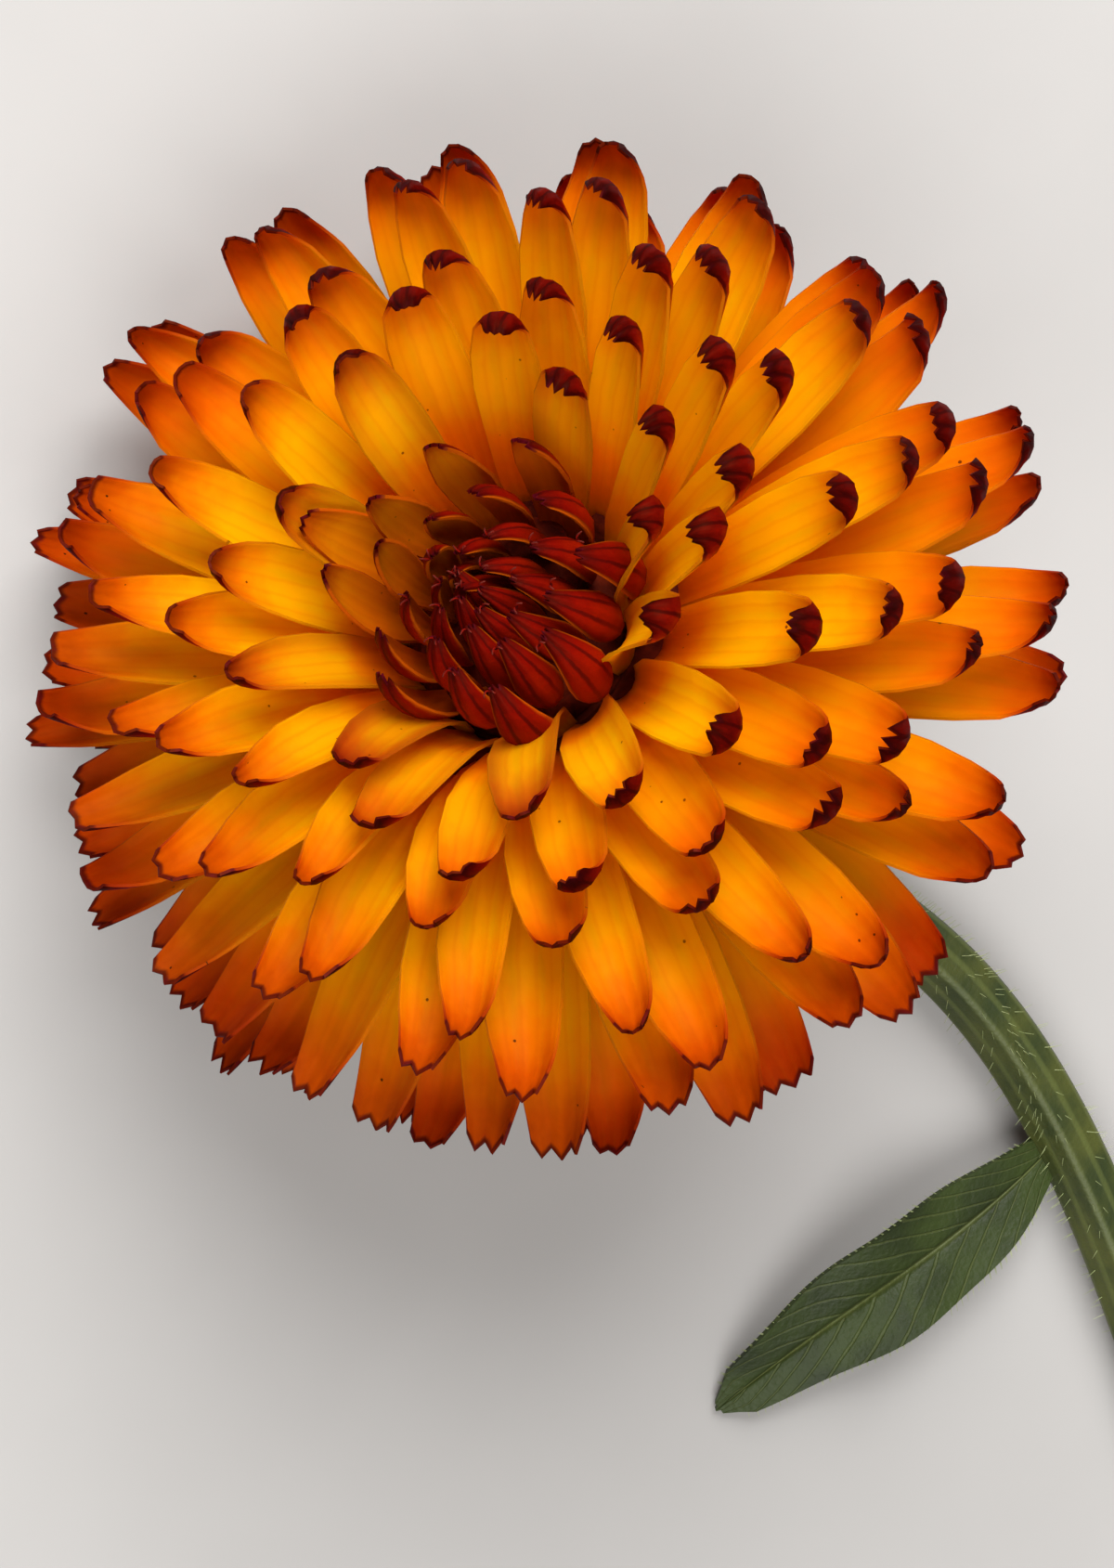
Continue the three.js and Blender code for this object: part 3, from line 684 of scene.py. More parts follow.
def ray_petal(i):
    rank = (i + 0.5) / RAY_COUNT
    tip_angle = mix(INNER_TIP_ANGLE, OUTER_TIP_ANGLE, rank ** TIP_CROWDING)
    tip_angle += varied(i, "tip angle")
    reach = reach_at(tip_angle) * (1 + varied(i, "reach"))
    inner = max(0.0, 1 - i / INNER_RAYS)
    root = (mix(*RAY_ROOTS_OUT, rank) - INNER_ROOTS_IN * inner, mix(*RAY_ROOTS_UP, rank))
    run = (reach * math.sin(tip_angle) - root[0], reach * math.cos(tip_angle) - root[1])
    width = mix(*RAY_WIDTHS, math.sqrt(rank)) * (1 + varied(i, "width"))
    azimuth = i * GOLDEN_ANGLE + varied(i, "azimuth")
    bend = ray_bend(i, rank, azimuth)
    curl = ray_curl(i, rank, azimuth)
    hooded = max(0.0, min(1.0, curl / FULL_HOOD_CURL))
    spooned = math.cos(azimuth - SPOONED_AZIMUTH)
    narrowed = 0.3 + 0.42 * hooded + varied(i, "narrowed")
    channel = 0.46 + varied(i, "channel")
    return {
        "root": root,
        "start_angle": math.atan2(*run) - bend / 2,
        "bend": bend,
        "curl": curl,
        "length": math.hypot(*run) * (1.03 + 0.045 * curl),
        "azimuth": azimuth,
        "lean": varied(i, "lean"),
        "twist": varied(i, "twist") - RAISED_MARGIN * math.cos(azimuth - RAISED_AZIMUTH),
        "ripple": 0.12,
        # Random tone plus painted shade that grows with rank on the outer rows.
        "tone_and_shade": varied(i, "tone_and_shade") + 0.9 * rank,
        "teeth": 0.9 - 0.4 * hooded + varied(i, "teeth") - 0.5 * max(0, spooned),
        "dark": max(0.0, 1 - i / DARK_RAYS) * (0.8 + varied(i, "dark")),
        "half_width": lambda t: ray_half_width(t, width, inner, narrowed),
        "roll": lambda t: ray_roll(t, channel, hooded, spooned),
        "settle": lambda point, t: lift_off_surface(point),
    }

# %% Ray petals
RAY_COLUMNS = [-1, -0.7, -0.36, 0, 0.36, 0.7, 1]
RAY_TIP = [0.925, 0.99, 0.948, 1, 0.948, 0.99, 0.925]
RAY_ROWS = [0, 0.2, 0.4, 0.56, 0.7, 0.8, 0.86, 0.91, 0.96, 1]
RAY_THICKNESS = 0.18
RAY_RINGS = {
    "ray_petals_inner": (0, 30), "ray_petals_upper": (30, 72),
    "ray_petals_wide": (72, 112), "ray_petals_lowest": (112, RAY_COUNT),
}
for ring, (first, last) in RAY_RINGS.items():
    lay_petals(ring, [ray_petal(i) for i in range(first, last)], RAY_COLUMNS, RAY_ROWS, RAY_TIP,
               RAY_THICKNESS, [PETAL_FACE, PETAL_BACK], 0, "ray_florets")

# %% [markdown]
# ## The heart under the petals
#
# Deep between the petals the eye meets the receptacle, crowded with petal roots. It is a plain
# turned body: a profile spun about the head's axis. Its finish is a grain of dark red-brown,
# painted shade for the deep gaps between the petals, and a lighter orange one behind the lowest
# petals, painted light where light comes through. A small dome of the same painted-shade grain
# stands under the middle tuft, so that no gap shows between its petals.

# %% Heart
HEART_STEPS = 40
HEART_PROFILE = [
    (0, -7.1), (6.2, -7.1), (7.4, -6.2), (8.8, -5.0), (10.2, -3.6), (11.2, -2.0), (11.6, -0.4),
    (11.3, 1.2), (10.5, 2.4), (9.6, 3.0), (8.8, 3.2), (8.0, 3.1), (7.2, 2.6), (6.6, 1.9), (0, 1.9),
]
BASE_STEPS = 32
BASE_PROFILE = [
    (0, 1.95), (6.2, 1.95), (6.45, 2.6), (6.4, 3.5), (5.9, 4.2), (5.0, 4.8), (3.6, 5.4),
    (2.0, 5.9), (0, 6.1),
]
# Painted shade: a dark grain for the deep gaps between the petals.
ROOT_PAINTED_SHADE_COLOURS = ((0.04, 0.002, 0.001, 1), (0.14, 0.012, 0.001, 1))
# Painted light: a lighter orange glow behind the lowest petals, where light comes through.
LOW_ROOT_PAINTED_GLOW_COLOURS = ((0.24, 0.03, 0.001, 1), (0.62, 0.12, 0.002, 1))
LOW_ROOTS_UP = -2.5
TURNED_CREASE = math.radians(40)


def spun(profile, steps):
    bm = bmesh.new()
    verts = [bm.verts.new((out, 0, up)) for out, up in profile]
    edges = [bm.edges.new(pair) for pair in zip(verts, verts[1:])]
    bmesh.ops.spin(bm, geom=verts + edges, axis=(0, 0, 1), cent=(0, 0, 0), steps=steps,
                   angle=2 * math.pi, use_merge=True)
    bmesh.ops.remove_doubles(bm, verts=bm.verts, dist=1e-4)
    bmesh.ops.recalc_face_normals(bm, faces=bm.faces)
    bmesh.ops.transform(bm, matrix=MM_HEAD_TO_FRAME, verts=bm.verts)
    return bm


def root_finish(name, shaded, lit):
    material, tree = start_material(name)
    grain = object_noise(tree, scale=900.0, detail=5.0)
    colour = colour_ramp(tree, grain, [(0.3, shaded), (0.7, lit)])
    plain_surface(tree, Base_Color=colour, Roughness=0.8, Specular_IOR_Level=0.1,
                  Normal=relief(tree, grain, depth=0.0003))
    return material


ROOT_PAINTED_SHADE_FINISH = root_finish("petal roots", *ROOT_PAINTED_SHADE_COLOURS)
LOW_ROOT_PAINTED_GLOW_FINISH = root_finish("lowest petal roots", *LOW_ROOT_PAINTED_GLOW_COLOURS)
frame_to_head = MM_HEAD_TO_FRAME.inverted()
heart_shape = spun(HEART_PROFILE, HEART_STEPS)
# Faces low on the heart take the painted glow.
for face in heart_shape.faces:
    if (frame_to_head @ face.calc_center_median()).z < LOW_ROOTS_UP:
        face.material_index = 1
base_shape = spun(BASE_PROFILE, BASE_STEPS)
heart = add_piece("heart", heart_shape, [ROOT_PAINTED_SHADE_FINISH, LOW_ROOT_PAINTED_GLOW_FINISH], "ray_florets")
# The dome under the tuft wears the same painted-shade grain.
middle_base = add_piece("middle_base", base_shape, [ROOT_PAINTED_SHADE_FINISH], "middle_florets")
for turned in (heart, middle_base):
    smooth(turned, TURNED_CREASE)
    print(turned.name, len(turned.data.polygons), "faces")

# %% [markdown]
# ## Middle petals
#
# The newest florets are still closed: narrow, rolled lengthwise, bent in over the centre so that
# their dark crimson backs show, with thin orange margins and dark, toothed tips that carry a painted
# violet reflection. On the side that has begun to open they stand up and show their orange inner faces.
# The whole tuft leans towards that side, which is the upper left of the photograph.

# %% Middle petal rule
MIDDLE_COUNT = 36
TUFT_LEAN = 0.8
TUFT_AZIMUTH = math.radians(266)
CLOSED_AZIMUTH = math.radians(110)
TUFT_SIDE = Vector((math.cos(TUFT_AZIMUTH), math.sin(TUFT_AZIMUTH), 0))
OPEN_FROM_RANK = 0.35
MIDDLE_WIDTHS = (2.4, 4.2)
MIDDLE_LENGTHS = (6, 10.4)
INNERMOST_ROOT_OUT = 0.5
MIDDLE_ROOTS_REACH = 5.6
CLOSED_SIDE_REACH = 1.6
MIDDLE_ROOTS_UP = 6.2
MIDDLE_ROOTS_DROP = 2


def middle_half_width(t, width, opened):
    tip_share = 1 - (0.86 - 0.2 * opened) * beyond(t, 0.45) ** 1.7
    return width / 2 * swell(t, 0.5, 0.5) * tip_share


def middle_petal(j):
    rank = (j + 0.5) / MIDDLE_COUNT
    azimuth = j * GOLDEN_ANGLE + 1
    opened = (0.5 - 0.5 * math.sin(azimuth)) * max(0, rank - OPEN_FROM_RANK) / (1 - OPEN_FROM_RANK)
    closed_side = max(0, math.cos(azimuth - CLOSED_AZIMUTH))
    width = mix(*MIDDLE_WIDTHS, rank)
    root_out = (MIDDLE_ROOTS_REACH + CLOSED_SIDE_REACH * closed_side) * math.sqrt(rank)
    return {
        "root": (INNERMOST_ROOT_OUT + root_out, MIDDLE_ROOTS_UP - MIDDLE_ROOTS_DROP * rank),
        "start_angle": math.radians(mix(6 + 50 * rank, 30, opened)),
        "bend": math.radians(mix(-42 - 52 * rank, -8, opened)),
        "curl": math.radians(22 + 10 * spread(j, 11)),
        "length": mix(*MIDDLE_LENGTHS, rank) + 0.5 * spread(j, 12),
        "azimuth": azimuth,
        "lean": math.radians(9) * spread(j, 14),
        "twist": math.radians(8) * spread(j, 13),
        "ripple": 0.05,
        "tone_and_shade": spread(j, 34),
        "teeth": 0.9 + 0.3 * spread(j, 36),
        "dark": 0.7 - 0.68 * opened,
        "opened": opened,
        "half_width": lambda t: middle_half_width(t, width, opened),
        "roll": lambda t: 1.35 - 0.7 * opened,
        "settle": lambda point, t: point + TUFT_SIDE * TUFT_LEAN * t * t,
    }

# %% Middle petals
MIDDLE_COLUMNS = [-1, -0.75, -0.4, 0, 0.4, 0.75, 1]
MIDDLE_TIP = [0.93, 0.985, 0.95, 1, 0.95, 0.985, 0.93]
MIDDLE_ROWS = [0, 0.18, 0.36, 0.54, 0.7, 0.82, 0.9, 0.96, 1]
MIDDLE_THICKNESS = 0.2
middle_florets = [middle_petal(j) for j in range(MIDDLE_COUNT)]
lay_petals("middle_petals", middle_florets, MIDDLE_COLUMNS, MIDDLE_ROWS, MIDDLE_TIP,
           MIDDLE_THICKNESS, [MIDDLE_FACE, MIDDLE_BACK], 1, "middle_florets")

# %% [markdown]
# ## Styles
#
# From the tips of the closed florets small paired styles curl out, dark red and paler at their
# ends. They are the same strap as a petal, a seventh of a millimetre wide and strongly bent. Each
# starts just inside its floret's tip and has that floret's tone.

# %% Styles
STYLE_STOPS = [
    (0.0, (0.10, 0.002, 0.002, 1)), (0.5, (0.20, 0.010, 0.012, 1)), (1.0, (0.42, 0.11, 0.08, 1)),
]
NO_RIM = (-0.5, 2.0)
STYLE_FINISH = petal_back("style", STYLE_STOPS, NO_RIM, BACK_CRIMSON, painted_reflection_share=0.0, glow=0.2,
                          glow_share=0.0)
STYLE_START = 0.96
STYLE_LEAN_SHARE = 0.92
STYLE_WIDTH = 0.14
STYLE_THICKNESS = 0.08
MOST_OPEN_WITH_STYLES = 0.15


def style(j, side):
    floret = middle_florets[j]
    tip, angle = along_floret(floret, STYLE_START)
    return {
        **floret,
        "root": tip,
        "start_angle": angle + math.radians(10),
        "bend": math.radians(120),
        "curl": math.radians(-90 - 30 * spread(j, 61 + side)),
        "length": 0.75 + 0.2 * spread(j, 63 + side),
        "lean": 0.3 * side / max(tip[0], 1),
        "twist": 0.0,
        "half_width": lambda t: STYLE_WIDTH / 2 * (1 - 0.5 * t),
        "ripple": 0.0,
        "teeth": 0.0,
        "roll": lambda t: 0.6,
        "settle": lambda point, t: point + TUFT_SIDE * TUFT_LEAN * STYLE_LEAN_SHARE,
    }


STYLE_COLUMNS = [-1, 0, 1]
STYLE_ROWS = [0, 0.16, 0.32, 0.48, 0.64, 0.8, 0.9, 1]
closed = [j for j in range(MIDDLE_COUNT) if middle_florets[j]["opened"] < MOST_OPEN_WITH_STYLES]
lay_petals("styles", [style(j, side) for j in closed for side in (-1, 1)], STYLE_COLUMNS,
           STYLE_ROWS, [1, 1, 1], STYLE_THICKNESS, [STYLE_FINISH, STYLE_FINISH], 0,
           "middle_florets")

# %% [markdown]
# ## Green cup and bracts
#
# Behind the head the petals are held by a green cup with two rows of narrow bracts. The cup is
# another spun profile, and its map runs once round a rib for each bract. Each bract is the same
# kind of strap as a petal, tapering to a point, paler towards its edges.

# %% Green finish
LEAF_GREEN = (0.034, 0.052, 0.009, 1)
STEM_GREEN = (0.052, 0.060, 0.010, 1)
PALE_RIB = (0.105, 0.125, 0.032, 1)
DEEP_GREEN = (0.018, 0.028, 0.006, 1)
GREEN_GLOSS = 0.35


def green_mottle_group():
    group = bpy.data.node_groups.new("green_mottle", "ShaderNodeTree")
    group.interface.new_socket("Scale", in_out="INPUT", socket_type="NodeSocketFloat")
    for name in ("Patches", "Grain"):
        group.interface.new_socket(name, in_out="OUTPUT", socket_type="NodeSocketFloat")
    scale = group.nodes.new("NodeGroupInput").outputs["Scale"]
    result = group.nodes.new("NodeGroupOutput").inputs
    grain_scale = math_node(group, "MULTIPLY", scale, 12.0)
    group.links.new(object_noise(group, scale, detail=3.0), result["Patches"])
    group.links.new(object_noise(group, grain_scale), result["Grain"])
    return group


GREEN_MOTTLE = green_mottle_group()


def green_mottle(tree, scale):
    return add_node(tree, "ShaderNodeGroup", {"node_tree": GREEN_MOTTLE}, Scale=scale).outputs


def green_finish(name, ground, map_name, ridge_count, pale_share, roughness):
    material, tree = start_material(name)
    mottle = green_mottle(tree, scale=260.0)
    across = map_shares(tree, map_name)[0]
    turns = math_node(tree, "MULTIPLY", across, 2 * math.pi * ridge_count)
    ridges = math_node(tree, "COSINE", turns)
    colour = blend_colours(tree, fade(tree, mottle["Patches"], 0.3, 0.7), ground, DEEP_GREEN)
    colour = glaze(tree, colour, fade(tree, ridges, 0.0, 1.0), pale_share, PALE_RIB)
    height = math_node(tree, "MULTIPLY_ADD", ridges, 0.6, mottle["Grain"])
    plain_surface(tree, Base_Color=colour, Roughness=roughness, Specular_IOR_Level=GREEN_GLOSS,
                  Normal=relief(tree, height, depth=0.00006))
    return material


BRACT_FINISH = green_finish("bract green", STEM_GREEN, "bract", ridge_count=1.0, pale_share=0.5,
                            roughness=0.6)

# %% Cup
BRACT_COUNT = 13
CUP_STEPS = 52
CUP_BOTTOM_UP = -11.1
CUP_TOP_UP = -6.9
CUP_PROFILE = [
    (0, CUP_BOTTOM_UP), (2.6, CUP_BOTTOM_UP), (3.9, -10.6), (5.2, -9.7), (6.2, -8.4),
    (6.8, -7.3), (6.7, -7.0), (6.4, CUP_TOP_UP), (0, CUP_TOP_UP),
]
cup = spun(CUP_PROFILE, CUP_STEPS)
cup_map = cup.loops.layers.uv.new("bract")
for face in cup.faces:
    middle = frame_to_head @ face.calc_center_median()
    middle_turn = math.atan2(middle.y, middle.x)
    for loop in face.loops:
        spot = frame_to_head @ loop.vert.co
        turn = math.atan2(spot.y, spot.x) - middle_turn
        turn = (turn + math.pi) % (2 * math.pi) - math.pi
        round_share = (middle_turn + turn) / (2 * math.pi)
        loop[cup_map].uv = (round_share * (2 * BRACT_COUNT), spot.z)
cup_piece = add_piece("bract_cup_body", cup, [BRACT_FINISH], "bract_cup")
smooth(cup_piece, TURNED_CREASE)
print("cup", len(cup_piece.data.polygons), "faces")

# %% Bracts
BRACT_COLUMNS = [-1, -0.5, 0, 0.5, 1]
BRACT_ROWS = [0, 0.2, 0.4, 0.6, 0.75, 0.88, 0.95, 1]
BRACT_TIP = [0.97, 0.99, 1, 0.99, 0.97]
BRACT_LENGTH = 12
BRACT_WIDTH = 2.6
BRACT_THICKNESS = 0.35


def bract(k, row):
    return {
        "root": (4.6 - 0.3 * row, CUP_TOP_UP - 1.5 + 0.3 * row),
        "start_angle": math.radians(100 - 5 * row + 4 * spread(k, 21)),
        "bend": math.radians(-14),
        "curl": math.radians(4),
        "length": BRACT_LENGTH - 0.8 * row + spread(k, 22),
        "azimuth": (k + row / 2) / BRACT_COUNT * 2 * math.pi,
        "lean": 0.0,
        "twist": 0.0,
        "ripple": 0.06,
        "half_width": lambda t: BRACT_WIDTH / 2 * (1 - 0.45 * t) * (1 - 0.85 * beyond(t, 0.7) ** 2),
        "roll": lambda t: 0.45,
    }


bracts = bmesh.new()
for row in range(2):
    for k in range(BRACT_COUNT):
        shape = bract(k, row)
        lay_strap(bracts, BRACT_COLUMNS, BRACT_ROWS, BRACT_TIP, "bract",
                  lambda t, s: MM_HEAD_TO_FRAME @ on_floret(shape, t, s))
bract_piece = add_piece("bracts", bracts, [BRACT_FINISH, BRACT_FINISH], "bract_cup")
give_thickness(bract_piece, BRACT_THICKNESS, rim_material=1)
print("bracts", len(bract_piece.data.polygons), "faces")

# %% [markdown]
# ## Stem
#
# The stem bends under the head's weight and then lies on the table. Its middle line is the same
# pair of curves as its solid's. A ring is made once and extruded along them, and each new ring is
# shaped with five soft ribs. A curve object with a round bevel would be quicker, but it has no
# ribs. The cut end is one face, inset twice: the skin's edge, the pale flesh and a small pith.

# %% Stem lines
STEM_RADIUS = 2.1
STEM_RIB = 0.14
LOWEST_SKIN = 0.02


def beyond_head(x, y, z):
    return HEAD_FOOT + Vector((x, y, z))


def bezier(points, t):
    a, b, c, d = points
    u = 1 - t
    return a * u ** 3 + b * 3 * u * u * t + c * 3 * u * t * t + d * t ** 3


TOUCHDOWN = beyond_head(1.5, 40, 2.35)
SETTLING = Vector((1, 14, 0))
stem_top = HEAD_TO_TABLE @ Vector((0, 0, CUP_BOTTOM_UP - 0.3))
backward = (HEAD_TO_TABLE.to_3x3() @ Vector((0, 0, -1))).normalized()
NECK_LINE = [stem_top, stem_top + backward * 14, TOUCHDOWN - SETTLING, TOUCHDOWN]
LYING_LINE = [TOUCHDOWN, TOUCHDOWN + SETTLING, beyond_head(12, 68, 2.4), beyond_head(30, 92, 2.05)]


def stem_point(share):
    if share < 0.5:
        return bezier(NECK_LINE, share * 2)
    return bezier(LYING_LINE, share * 2 - 1)


def stem_frame(share):
    ahead = (stem_point(min(share + 0.002, 1)) - stem_point(max(share - 0.002, 0))).normalized()
    sideways = ahead.cross(Vector((0, 0, 1))).normalized()
    return ahead, sideways, sideways.cross(ahead)


def on_stem(share, angle, proud=0.0):
    ahead, sideways, upward = stem_frame(share)
    radius = STEM_RADIUS + STEM_RIB * math.cos(5 * angle) + proud
    point = stem_point(share) + (sideways * math.cos(angle) + upward * math.sin(angle)) * radius
    point.z = max(point.z, LOWEST_SKIN)
    return point

# %% Stem
STEM_SIDES = 40
STEM_RINGS = 90
STEM_SUNK = 0.8
SKIN_WIDTH = 0.35
FLESH_WIDTH = 0.6
PITH_DEPTH = 0.15
STEM_MAP_LENGTH = 20
stem = bmesh.new()
stem_map = stem.loops.layers.uv.new("stem")
laid = bmesh.ops.create_circle(stem, segments=STEM_SIDES, radius=1, cap_ends=False)
angles = {vert: math.atan2(vert.co.y, vert.co.x) for vert in laid["verts"]}
shares = {vert: 0.0 for vert in laid["verts"]}
ring_edges = list({edge for vert in laid["verts"] for edge in vert.link_edges})
for vert in laid["verts"]:
    vert.co = MM_TO_FRAME @ (on_stem(0, angles[vert]) - backward * STEM_SUNK)
for ring in range(1, STEM_RINGS + 1):
    known = {tuple(vert.co): vert for edge in ring_edges for vert in edge.verts}
    extruded = bmesh.ops.extrude_edge_only(stem, edges=ring_edges)["geom"]
    ring_edges = [item for item in extruded if isinstance(item, bmesh.types.BMEdge)
                  and all(vert not in shares for vert in item.verts)]
    for vert in {vert for edge in ring_edges for vert in edge.verts}:
        angles[vert] = angles[known[tuple(vert.co)]]
        shares[vert] = ring / STEM_RINGS
        vert.co = MM_TO_FRAME @ on_stem(shares[vert], angles[vert])
for face in stem.faces:
    first = angles[face.loops[0].vert]
    for loop in face.loops:
        turn = (angles[loop.vert] - first + math.pi) % (2 * math.pi) - math.pi
        loop[stem_map].uv = ((first + turn) / (2 * math.pi), shares[loop.vert] * STEM_MAP_LENGTH)
flesh = bmesh.ops.contextual_create(stem, geom=ring_edges)["faces"]
bmesh.ops.inset_region(stem, faces=flesh, thickness=SKIN_WIDTH * MM, use_even_offset=True)
for face in flesh:
    face.material_index = 1
bmesh.ops.inset_region(stem, faces=flesh, thickness=FLESH_WIDTH * MM, depth=-PITH_DEPTH * MM,
                       use_even_offset=True)
for face in flesh:
    face.material_index = 2
bmesh.ops.recalc_face_normals(stem, faces=stem.faces)

# %% Stem finishes
FLESH_GREEN = (0.42, 0.50, 0.20, 1)
PITH_GREEN = (0.55, 0.58, 0.36, 1)
STEM_FINISH = green_finish("stem green", STEM_GREEN, "stem", ridge_count=10.0, pale_share=0.35,
                           roughness=0.5)


def flesh_finish(name, colour):
    material, tree = start_material(name)
    mottle = green_mottle(tree, scale=900.0)
    damp = blend_colours(tree, fade(tree, mottle["Patches"], 0.35, 0.65), colour, PALE_RIB)
    plain_surface(tree, Base_Color=damp, Roughness=0.35,
                  Normal=relief(tree, mottle["Grain"], depth=0.0001, strength=0.6))
    return material


cut_end = [flesh_finish("cut flesh", FLESH_GREEN), flesh_finish("pith", PITH_GREEN)]
stem_piece = add_piece("stem_skin", stem, [STEM_FINISH, *cut_end], "stem")
smooth(stem_piece, sharp_angle=math.radians(45))
print("stem", len(stem_piece.data.polygons), "faces")

# %% [markdown]
# ## Leaf
#
# One oblong leaf springs from the stem's side, arches, and touches the table with its tip. It is a
# strap too, with a groove along its midrib and waved margins. Its side veins are too many to
# model, so the map paints them: slanted waves that run forward from the midrib to the margins.

# %% Leaf finish
VEIN_SLANT = -2.6
VEIN_COUNT = 11.0
LEAF_GLOSS_TINT = (1.0, 1.0, 1.0, 1)


def leaf_finish():
    material, tree = start_material("leaf green")
    mottle = green_mottle(tree, scale=220.0)
    across, along = map_shares(tree, "leaf")
    edge = math_node(tree, "ABSOLUTE", math_node(tree, "MULTIPLY_ADD", across, 2.0, -1.0))
    midrib = math_node(tree, "SUBTRACT", 1.0, fade(tree, edge, 0.02, 0.12))
    rows = math_node(tree, "MULTIPLY", along, VEIN_COUNT)
    slant = math_node(tree, "MULTIPLY_ADD", edge, VEIN_SLANT, rows)
    slant = math_node(tree, "MULTIPLY_ADD", mottle["Patches"], 0.5, slant)
    wave = math_node(tree, "COSINE", math_node(tree, "MULTIPLY", slant, 2 * math.pi))
    veins = math_node(tree, "MULTIPLY", fade(tree, wave, 0.8, 1.0), 0.45)
    lines = math_node(tree, "MAXIMUM", midrib, veins)
    patches = fade(tree, mottle["Patches"], 0.35, 0.7)
    colour = blend_colours(tree, patches, LEAF_GREEN, DEEP_GREEN)
    colour = glaze(tree, colour, lines, 0.7, PALE_RIB)
    height = math_node(tree, "MULTIPLY_ADD", lines, -1.5, mottle["Grain"])
    thin_sheet(tree, colour, colour, relief(tree, height, depth=0.0001), GREEN_GLOSS,
               roughness=0.55, glow=0.2, gloss_tint=LEAF_GLOSS_TINT)
    return material

# %% Leaf
LEAF_ALONG = Vector((0.95, -0.31, 0)).normalized()
LEAF_ACROSS = Vector((LEAF_ALONG.y, -LEAF_ALONG.x, 0))
LEAF_AT = 0.4
LEAF_SUNK = 0.5
LEAF_BASE = bezier(LYING_LINE, LEAF_AT) + LEAF_ALONG * (STEM_RADIUS - LEAF_SUNK)
LEAF_LENGTH = 27 + STEM_RIB + 0.8
LEAF_WIDTH = 7.6
LEAF_TIP_RISE = 0.45
LEAF_ARCH = 2.2
LEAF_GROOVE = 0.25
LEAF_BOW = 1.6
LEAF_THICKNESS = 0.4
LEAF_COLUMNS = [-1, -0.8, -0.6, -0.4, -0.2, -0.08, 0, 0.08, 0.2, 0.4, 0.6, 0.8, 1]
LEAF_ROWS = [k / 30 for k in range(31)]
LEAF_TIP = [0.99] * 4 + [1.0] * 5 + [0.99] * 4


def on_leaf(t, s):
    swelling = math.sin(math.pi * t)
    outline = 0.34 + 0.66 * math.sin(math.pi * min(t, 0.985) ** 0.9)
    tip_share = 1 - 0.75 * beyond(t, 0.93)
    rise = mix(LEAF_BASE.z, LEAF_TIP_RISE, t * t) + LEAF_ARCH * swelling
    fold = abs(s) * (0.9 + 0.45 * math.sin(5 * math.pi * t + s)) * swelling
    groove = LEAF_GROOVE * math.exp(-(s / 0.09) ** 2) * swelling
    sideways = s * outline * LEAF_WIDTH / 2 * tip_share + LEAF_BOW * swelling * t
    point = LEAF_BASE + LEAF_ALONG * LEAF_LENGTH * t + LEAF_ACROSS * sideways
    point.z = rise + fold - groove
    return point


leaf = bmesh.new()
lay_strap(leaf, LEAF_COLUMNS, LEAF_ROWS, LEAF_TIP, "leaf", lambda t, s: MM_TO_FRAME @ on_leaf(t, s))
LEAF_FINISH = leaf_finish()
leaf_piece = add_piece("leaf_blade", leaf, [LEAF_FINISH, LEAF_FINISH], "stem_leaf")
give_thickness(leaf_piece, LEAF_THICKNESS, rim_material=1)
print("leaf", len(leaf_piece.data.polygons), "faces")

# %% [markdown]
# ## Hairs
#
# Marigold stems are covered with short fine hairs, and the leaves carry them along their margins.
# A particle system would not become part of the mesh, so each hair is a three-sided cone, less
# than a tenth of a millimetre across. A hair that would reach into the table is left out.

# %% Hairs
STEM_HAIR_COUNT = 900
LEAF_HAIR_COUNT = 150
HAIR_FOOT_RADIUS = 0.032
HAIR_TIP_RADIUS = 0.01
HAIR_SUNK = 0.05
LOWEST_HAIR_TIP = 0.05
LOWEST_HAIR_ROOT = 0.25
HAIR_LEAN = 0.35
STEM_HAIR_LENGTH, STEM_HAIR_SPREAD = 0.65, 0.3
LEAF_HAIR_LENGTH, LEAF_HAIR_SPREAD = 0.45, 0.2
HAIR_SHADES = ((0.18, 0.22, 0.08, 1), (0.36, 0.40, 0.20, 1))


def hair_finish():
    material, tree = start_material("fine hair")
    shade = object_noise(tree, scale=500.0)
    colour = colour_ramp(tree, shade, [(0.3, HAIR_SHADES[0]), (0.7, HAIR_SHADES[1])])
    plain_surface(tree, Base_Color=colour, Roughness=0.5)
    return material


HAIR_FINISH = hair_finish()


def grow_hairs(name, roots):
    bm = bmesh.new()
    for root, direction, length in roots:
        upright = Vector((0, 0, 1)).rotation_difference(direction).to_matrix().to_4x4()
        place = MM_TO_FRAME @ Matrix.Translation(root + direction * length / 2) @ upright
        bmesh.ops.create_cone(bm, segments=3, radius1=HAIR_FOOT_RADIUS, radius2=HAIR_TIP_RADIUS,
                              depth=length, cap_ends=True, matrix=place)
    add_piece(name, bm, [HAIR_FINISH])
    print(name, len(roots), "hairs")


def stem_hairs(count):
    roots = []
    for k in range(count):
        share = 0.02 + 0.96 * (0.5 + 0.5 * spread(k, 41))
        angle = math.pi * spread(k * SALT_STEP / NUMBER_STEP, 0) + 0.5 * math.sin(k)
        root = on_stem(share, angle, -HAIR_SUNK)
        away = (root - stem_point(share)).normalized()
        direction = (away + stem_frame(share)[0] * -HAIR_LEAN * spread(k, 42)).normalized()
        length = STEM_HAIR_LENGTH + STEM_HAIR_SPREAD * spread(k, 43)
        if root.z + direction.z * length > LOWEST_HAIR_TIP and root.z > LOWEST_HAIR_ROOT:
            roots.append((root, direction, length))
    return roots


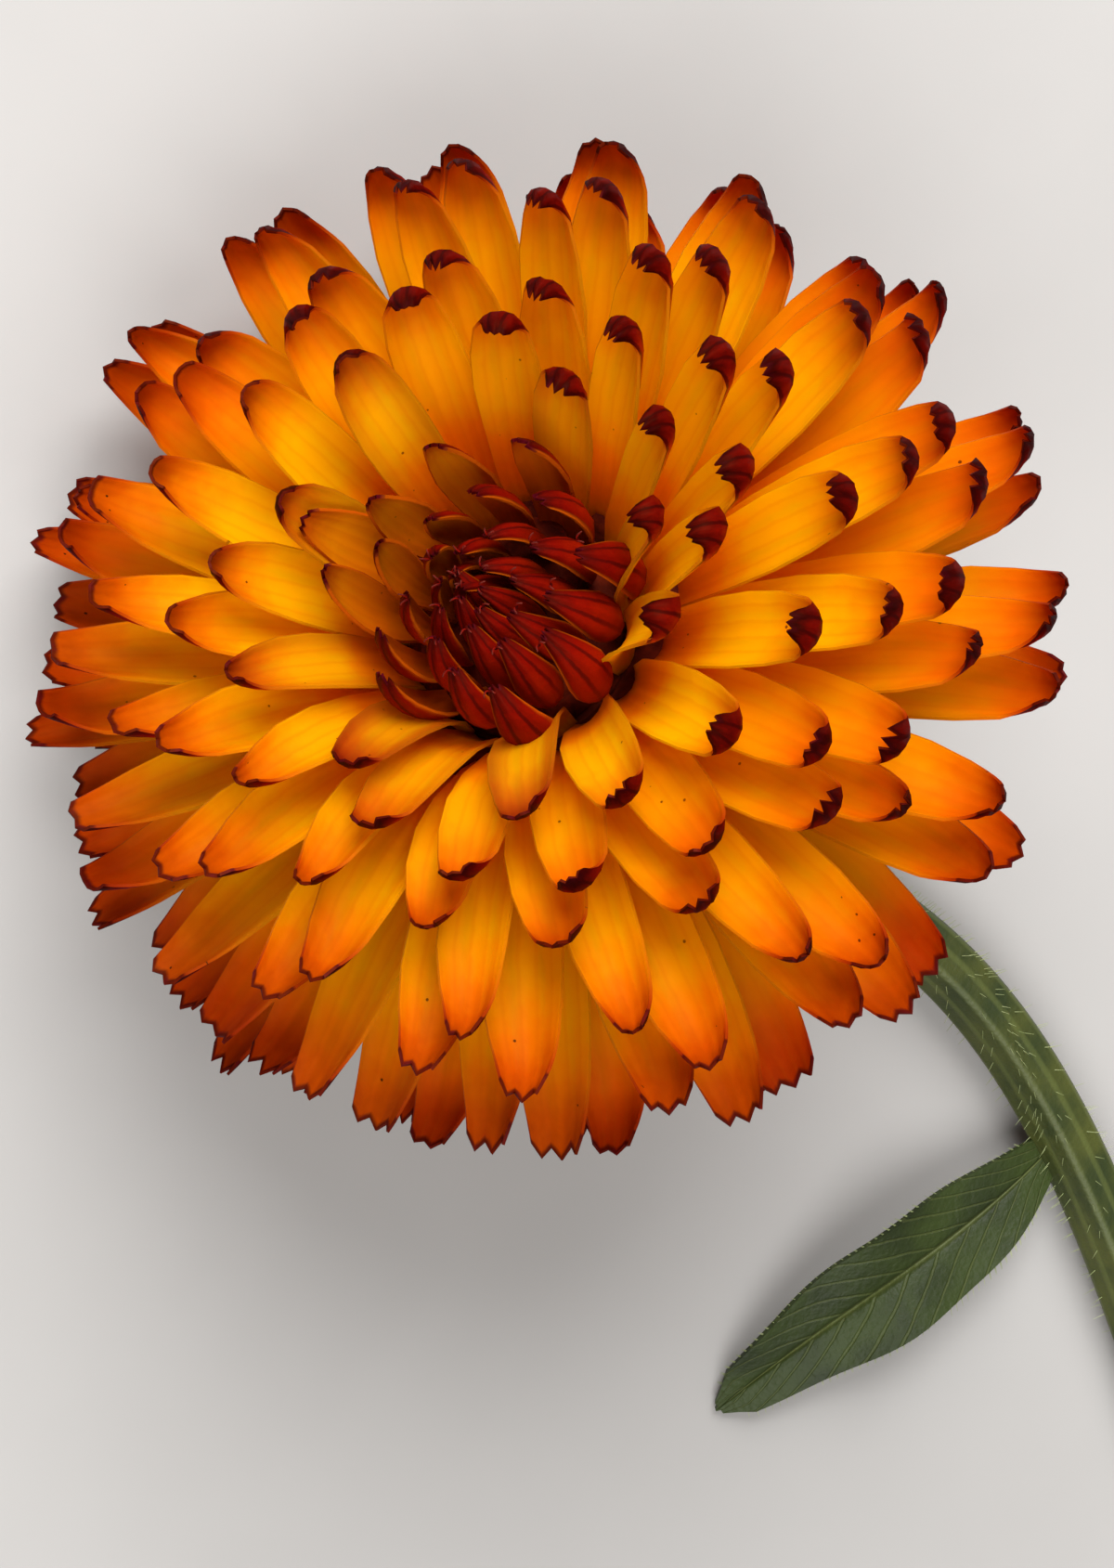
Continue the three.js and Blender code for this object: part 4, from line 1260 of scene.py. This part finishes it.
def leaf_hairs(count):
    roots = []
    for k in range(count):
        t = 0.04 + 0.92 * (0.5 + 0.5 * spread(k, 51))
        side = 1 if k % 2 else -1
        root = on_leaf(t, side * 0.99)
        direction = (LEAF_ACROSS * side + Vector((0, 0, 0.25)) + LEAF_ALONG * 0.5).normalized()
        roots.append((root, direction, LEAF_HAIR_LENGTH + LEAF_HAIR_SPREAD * spread(k, 52)))
    return roots


grow_hairs("stem_hairs", stem_hairs(STEM_HAIR_COUNT))
grow_hairs("leaf_hairs", leaf_hairs(LEAF_HAIR_COUNT))

# %% [markdown]
# ## Table and light
#
# The flower lies on a plain pale table. One large soft lamp stands beyond the picture's top edge
# and in front of the flower, so it lights the faces and also shines through the upper petals. A
# second one fills the shade from below the picture, and a weak warm world keeps the gaps from
# going black.

# %% Table
TABLE_REACH = 1.5
TABLE_SHADES = ((0.34, 0.33, 0.32, 1), (0.37, 0.36, 0.35, 1))


def table_finish():
    material, tree = start_material("table")
    grain = object_noise(tree, scale=40.0, detail=3.0)
    colour = colour_ramp(tree, grain, [(0.2, TABLE_SHADES[0]), (0.8, TABLE_SHADES[1])])
    plain_surface(tree, Base_Color=colour, Roughness=0.85)
    return material


table = bmesh.new()
bmesh.ops.create_grid(table, x_segments=1, y_segments=1, size=TABLE_REACH)
table_mesh = bpy.data.meshes.new("table")
table.to_mesh(table_mesh)
table.free()
table_mesh.materials.append(table_finish())
table_piece = bpy.data.objects.new("table", table_mesh)
bpy.context.scene.collection.objects.link(table_piece)

# %% Light
def soft_lamp(name, direction, distance, size, power):
    data = bpy.data.lights.new(name, "AREA")
    data.shape = "DISK"
    data.size = size
    data.energy = power
    lamp = bpy.data.objects.new(name, data)
    lamp.location = head_centre + direction.normalized() * distance
    lamp.rotation_euler = direction.to_track_quat("Z", "Y").to_euler()
    bpy.context.scene.collection.objects.link(lamp)


KEY_DIRECTION = view_up * 0.75 + view_back * 1.0 + view_right * 0.15
FILL_DIRECTION = view_back * 1.0 - view_up * 0.8 + view_right * 0.1
WORLD_TINT = (1.0, 0.94, 0.88, 1)
WORLD_STRENGTH = 0.28

soft_lamp("key lamp", KEY_DIRECTION, distance=0.6, size=0.5, power=8.0)
soft_lamp("fill lamp", FILL_DIRECTION, distance=0.8, size=0.7, power=5.8)
world = bpy.data.worlds.new("studio")
world.use_nodes = True
world_light = world.node_tree.nodes["Background"].inputs
world_light["Color"].default_value = WORLD_TINT
world_light["Strength"].default_value = WORLD_STRENGTH
bpy.context.scene.world = world
bpy.context.scene.view_settings.view_transform = "Standard"
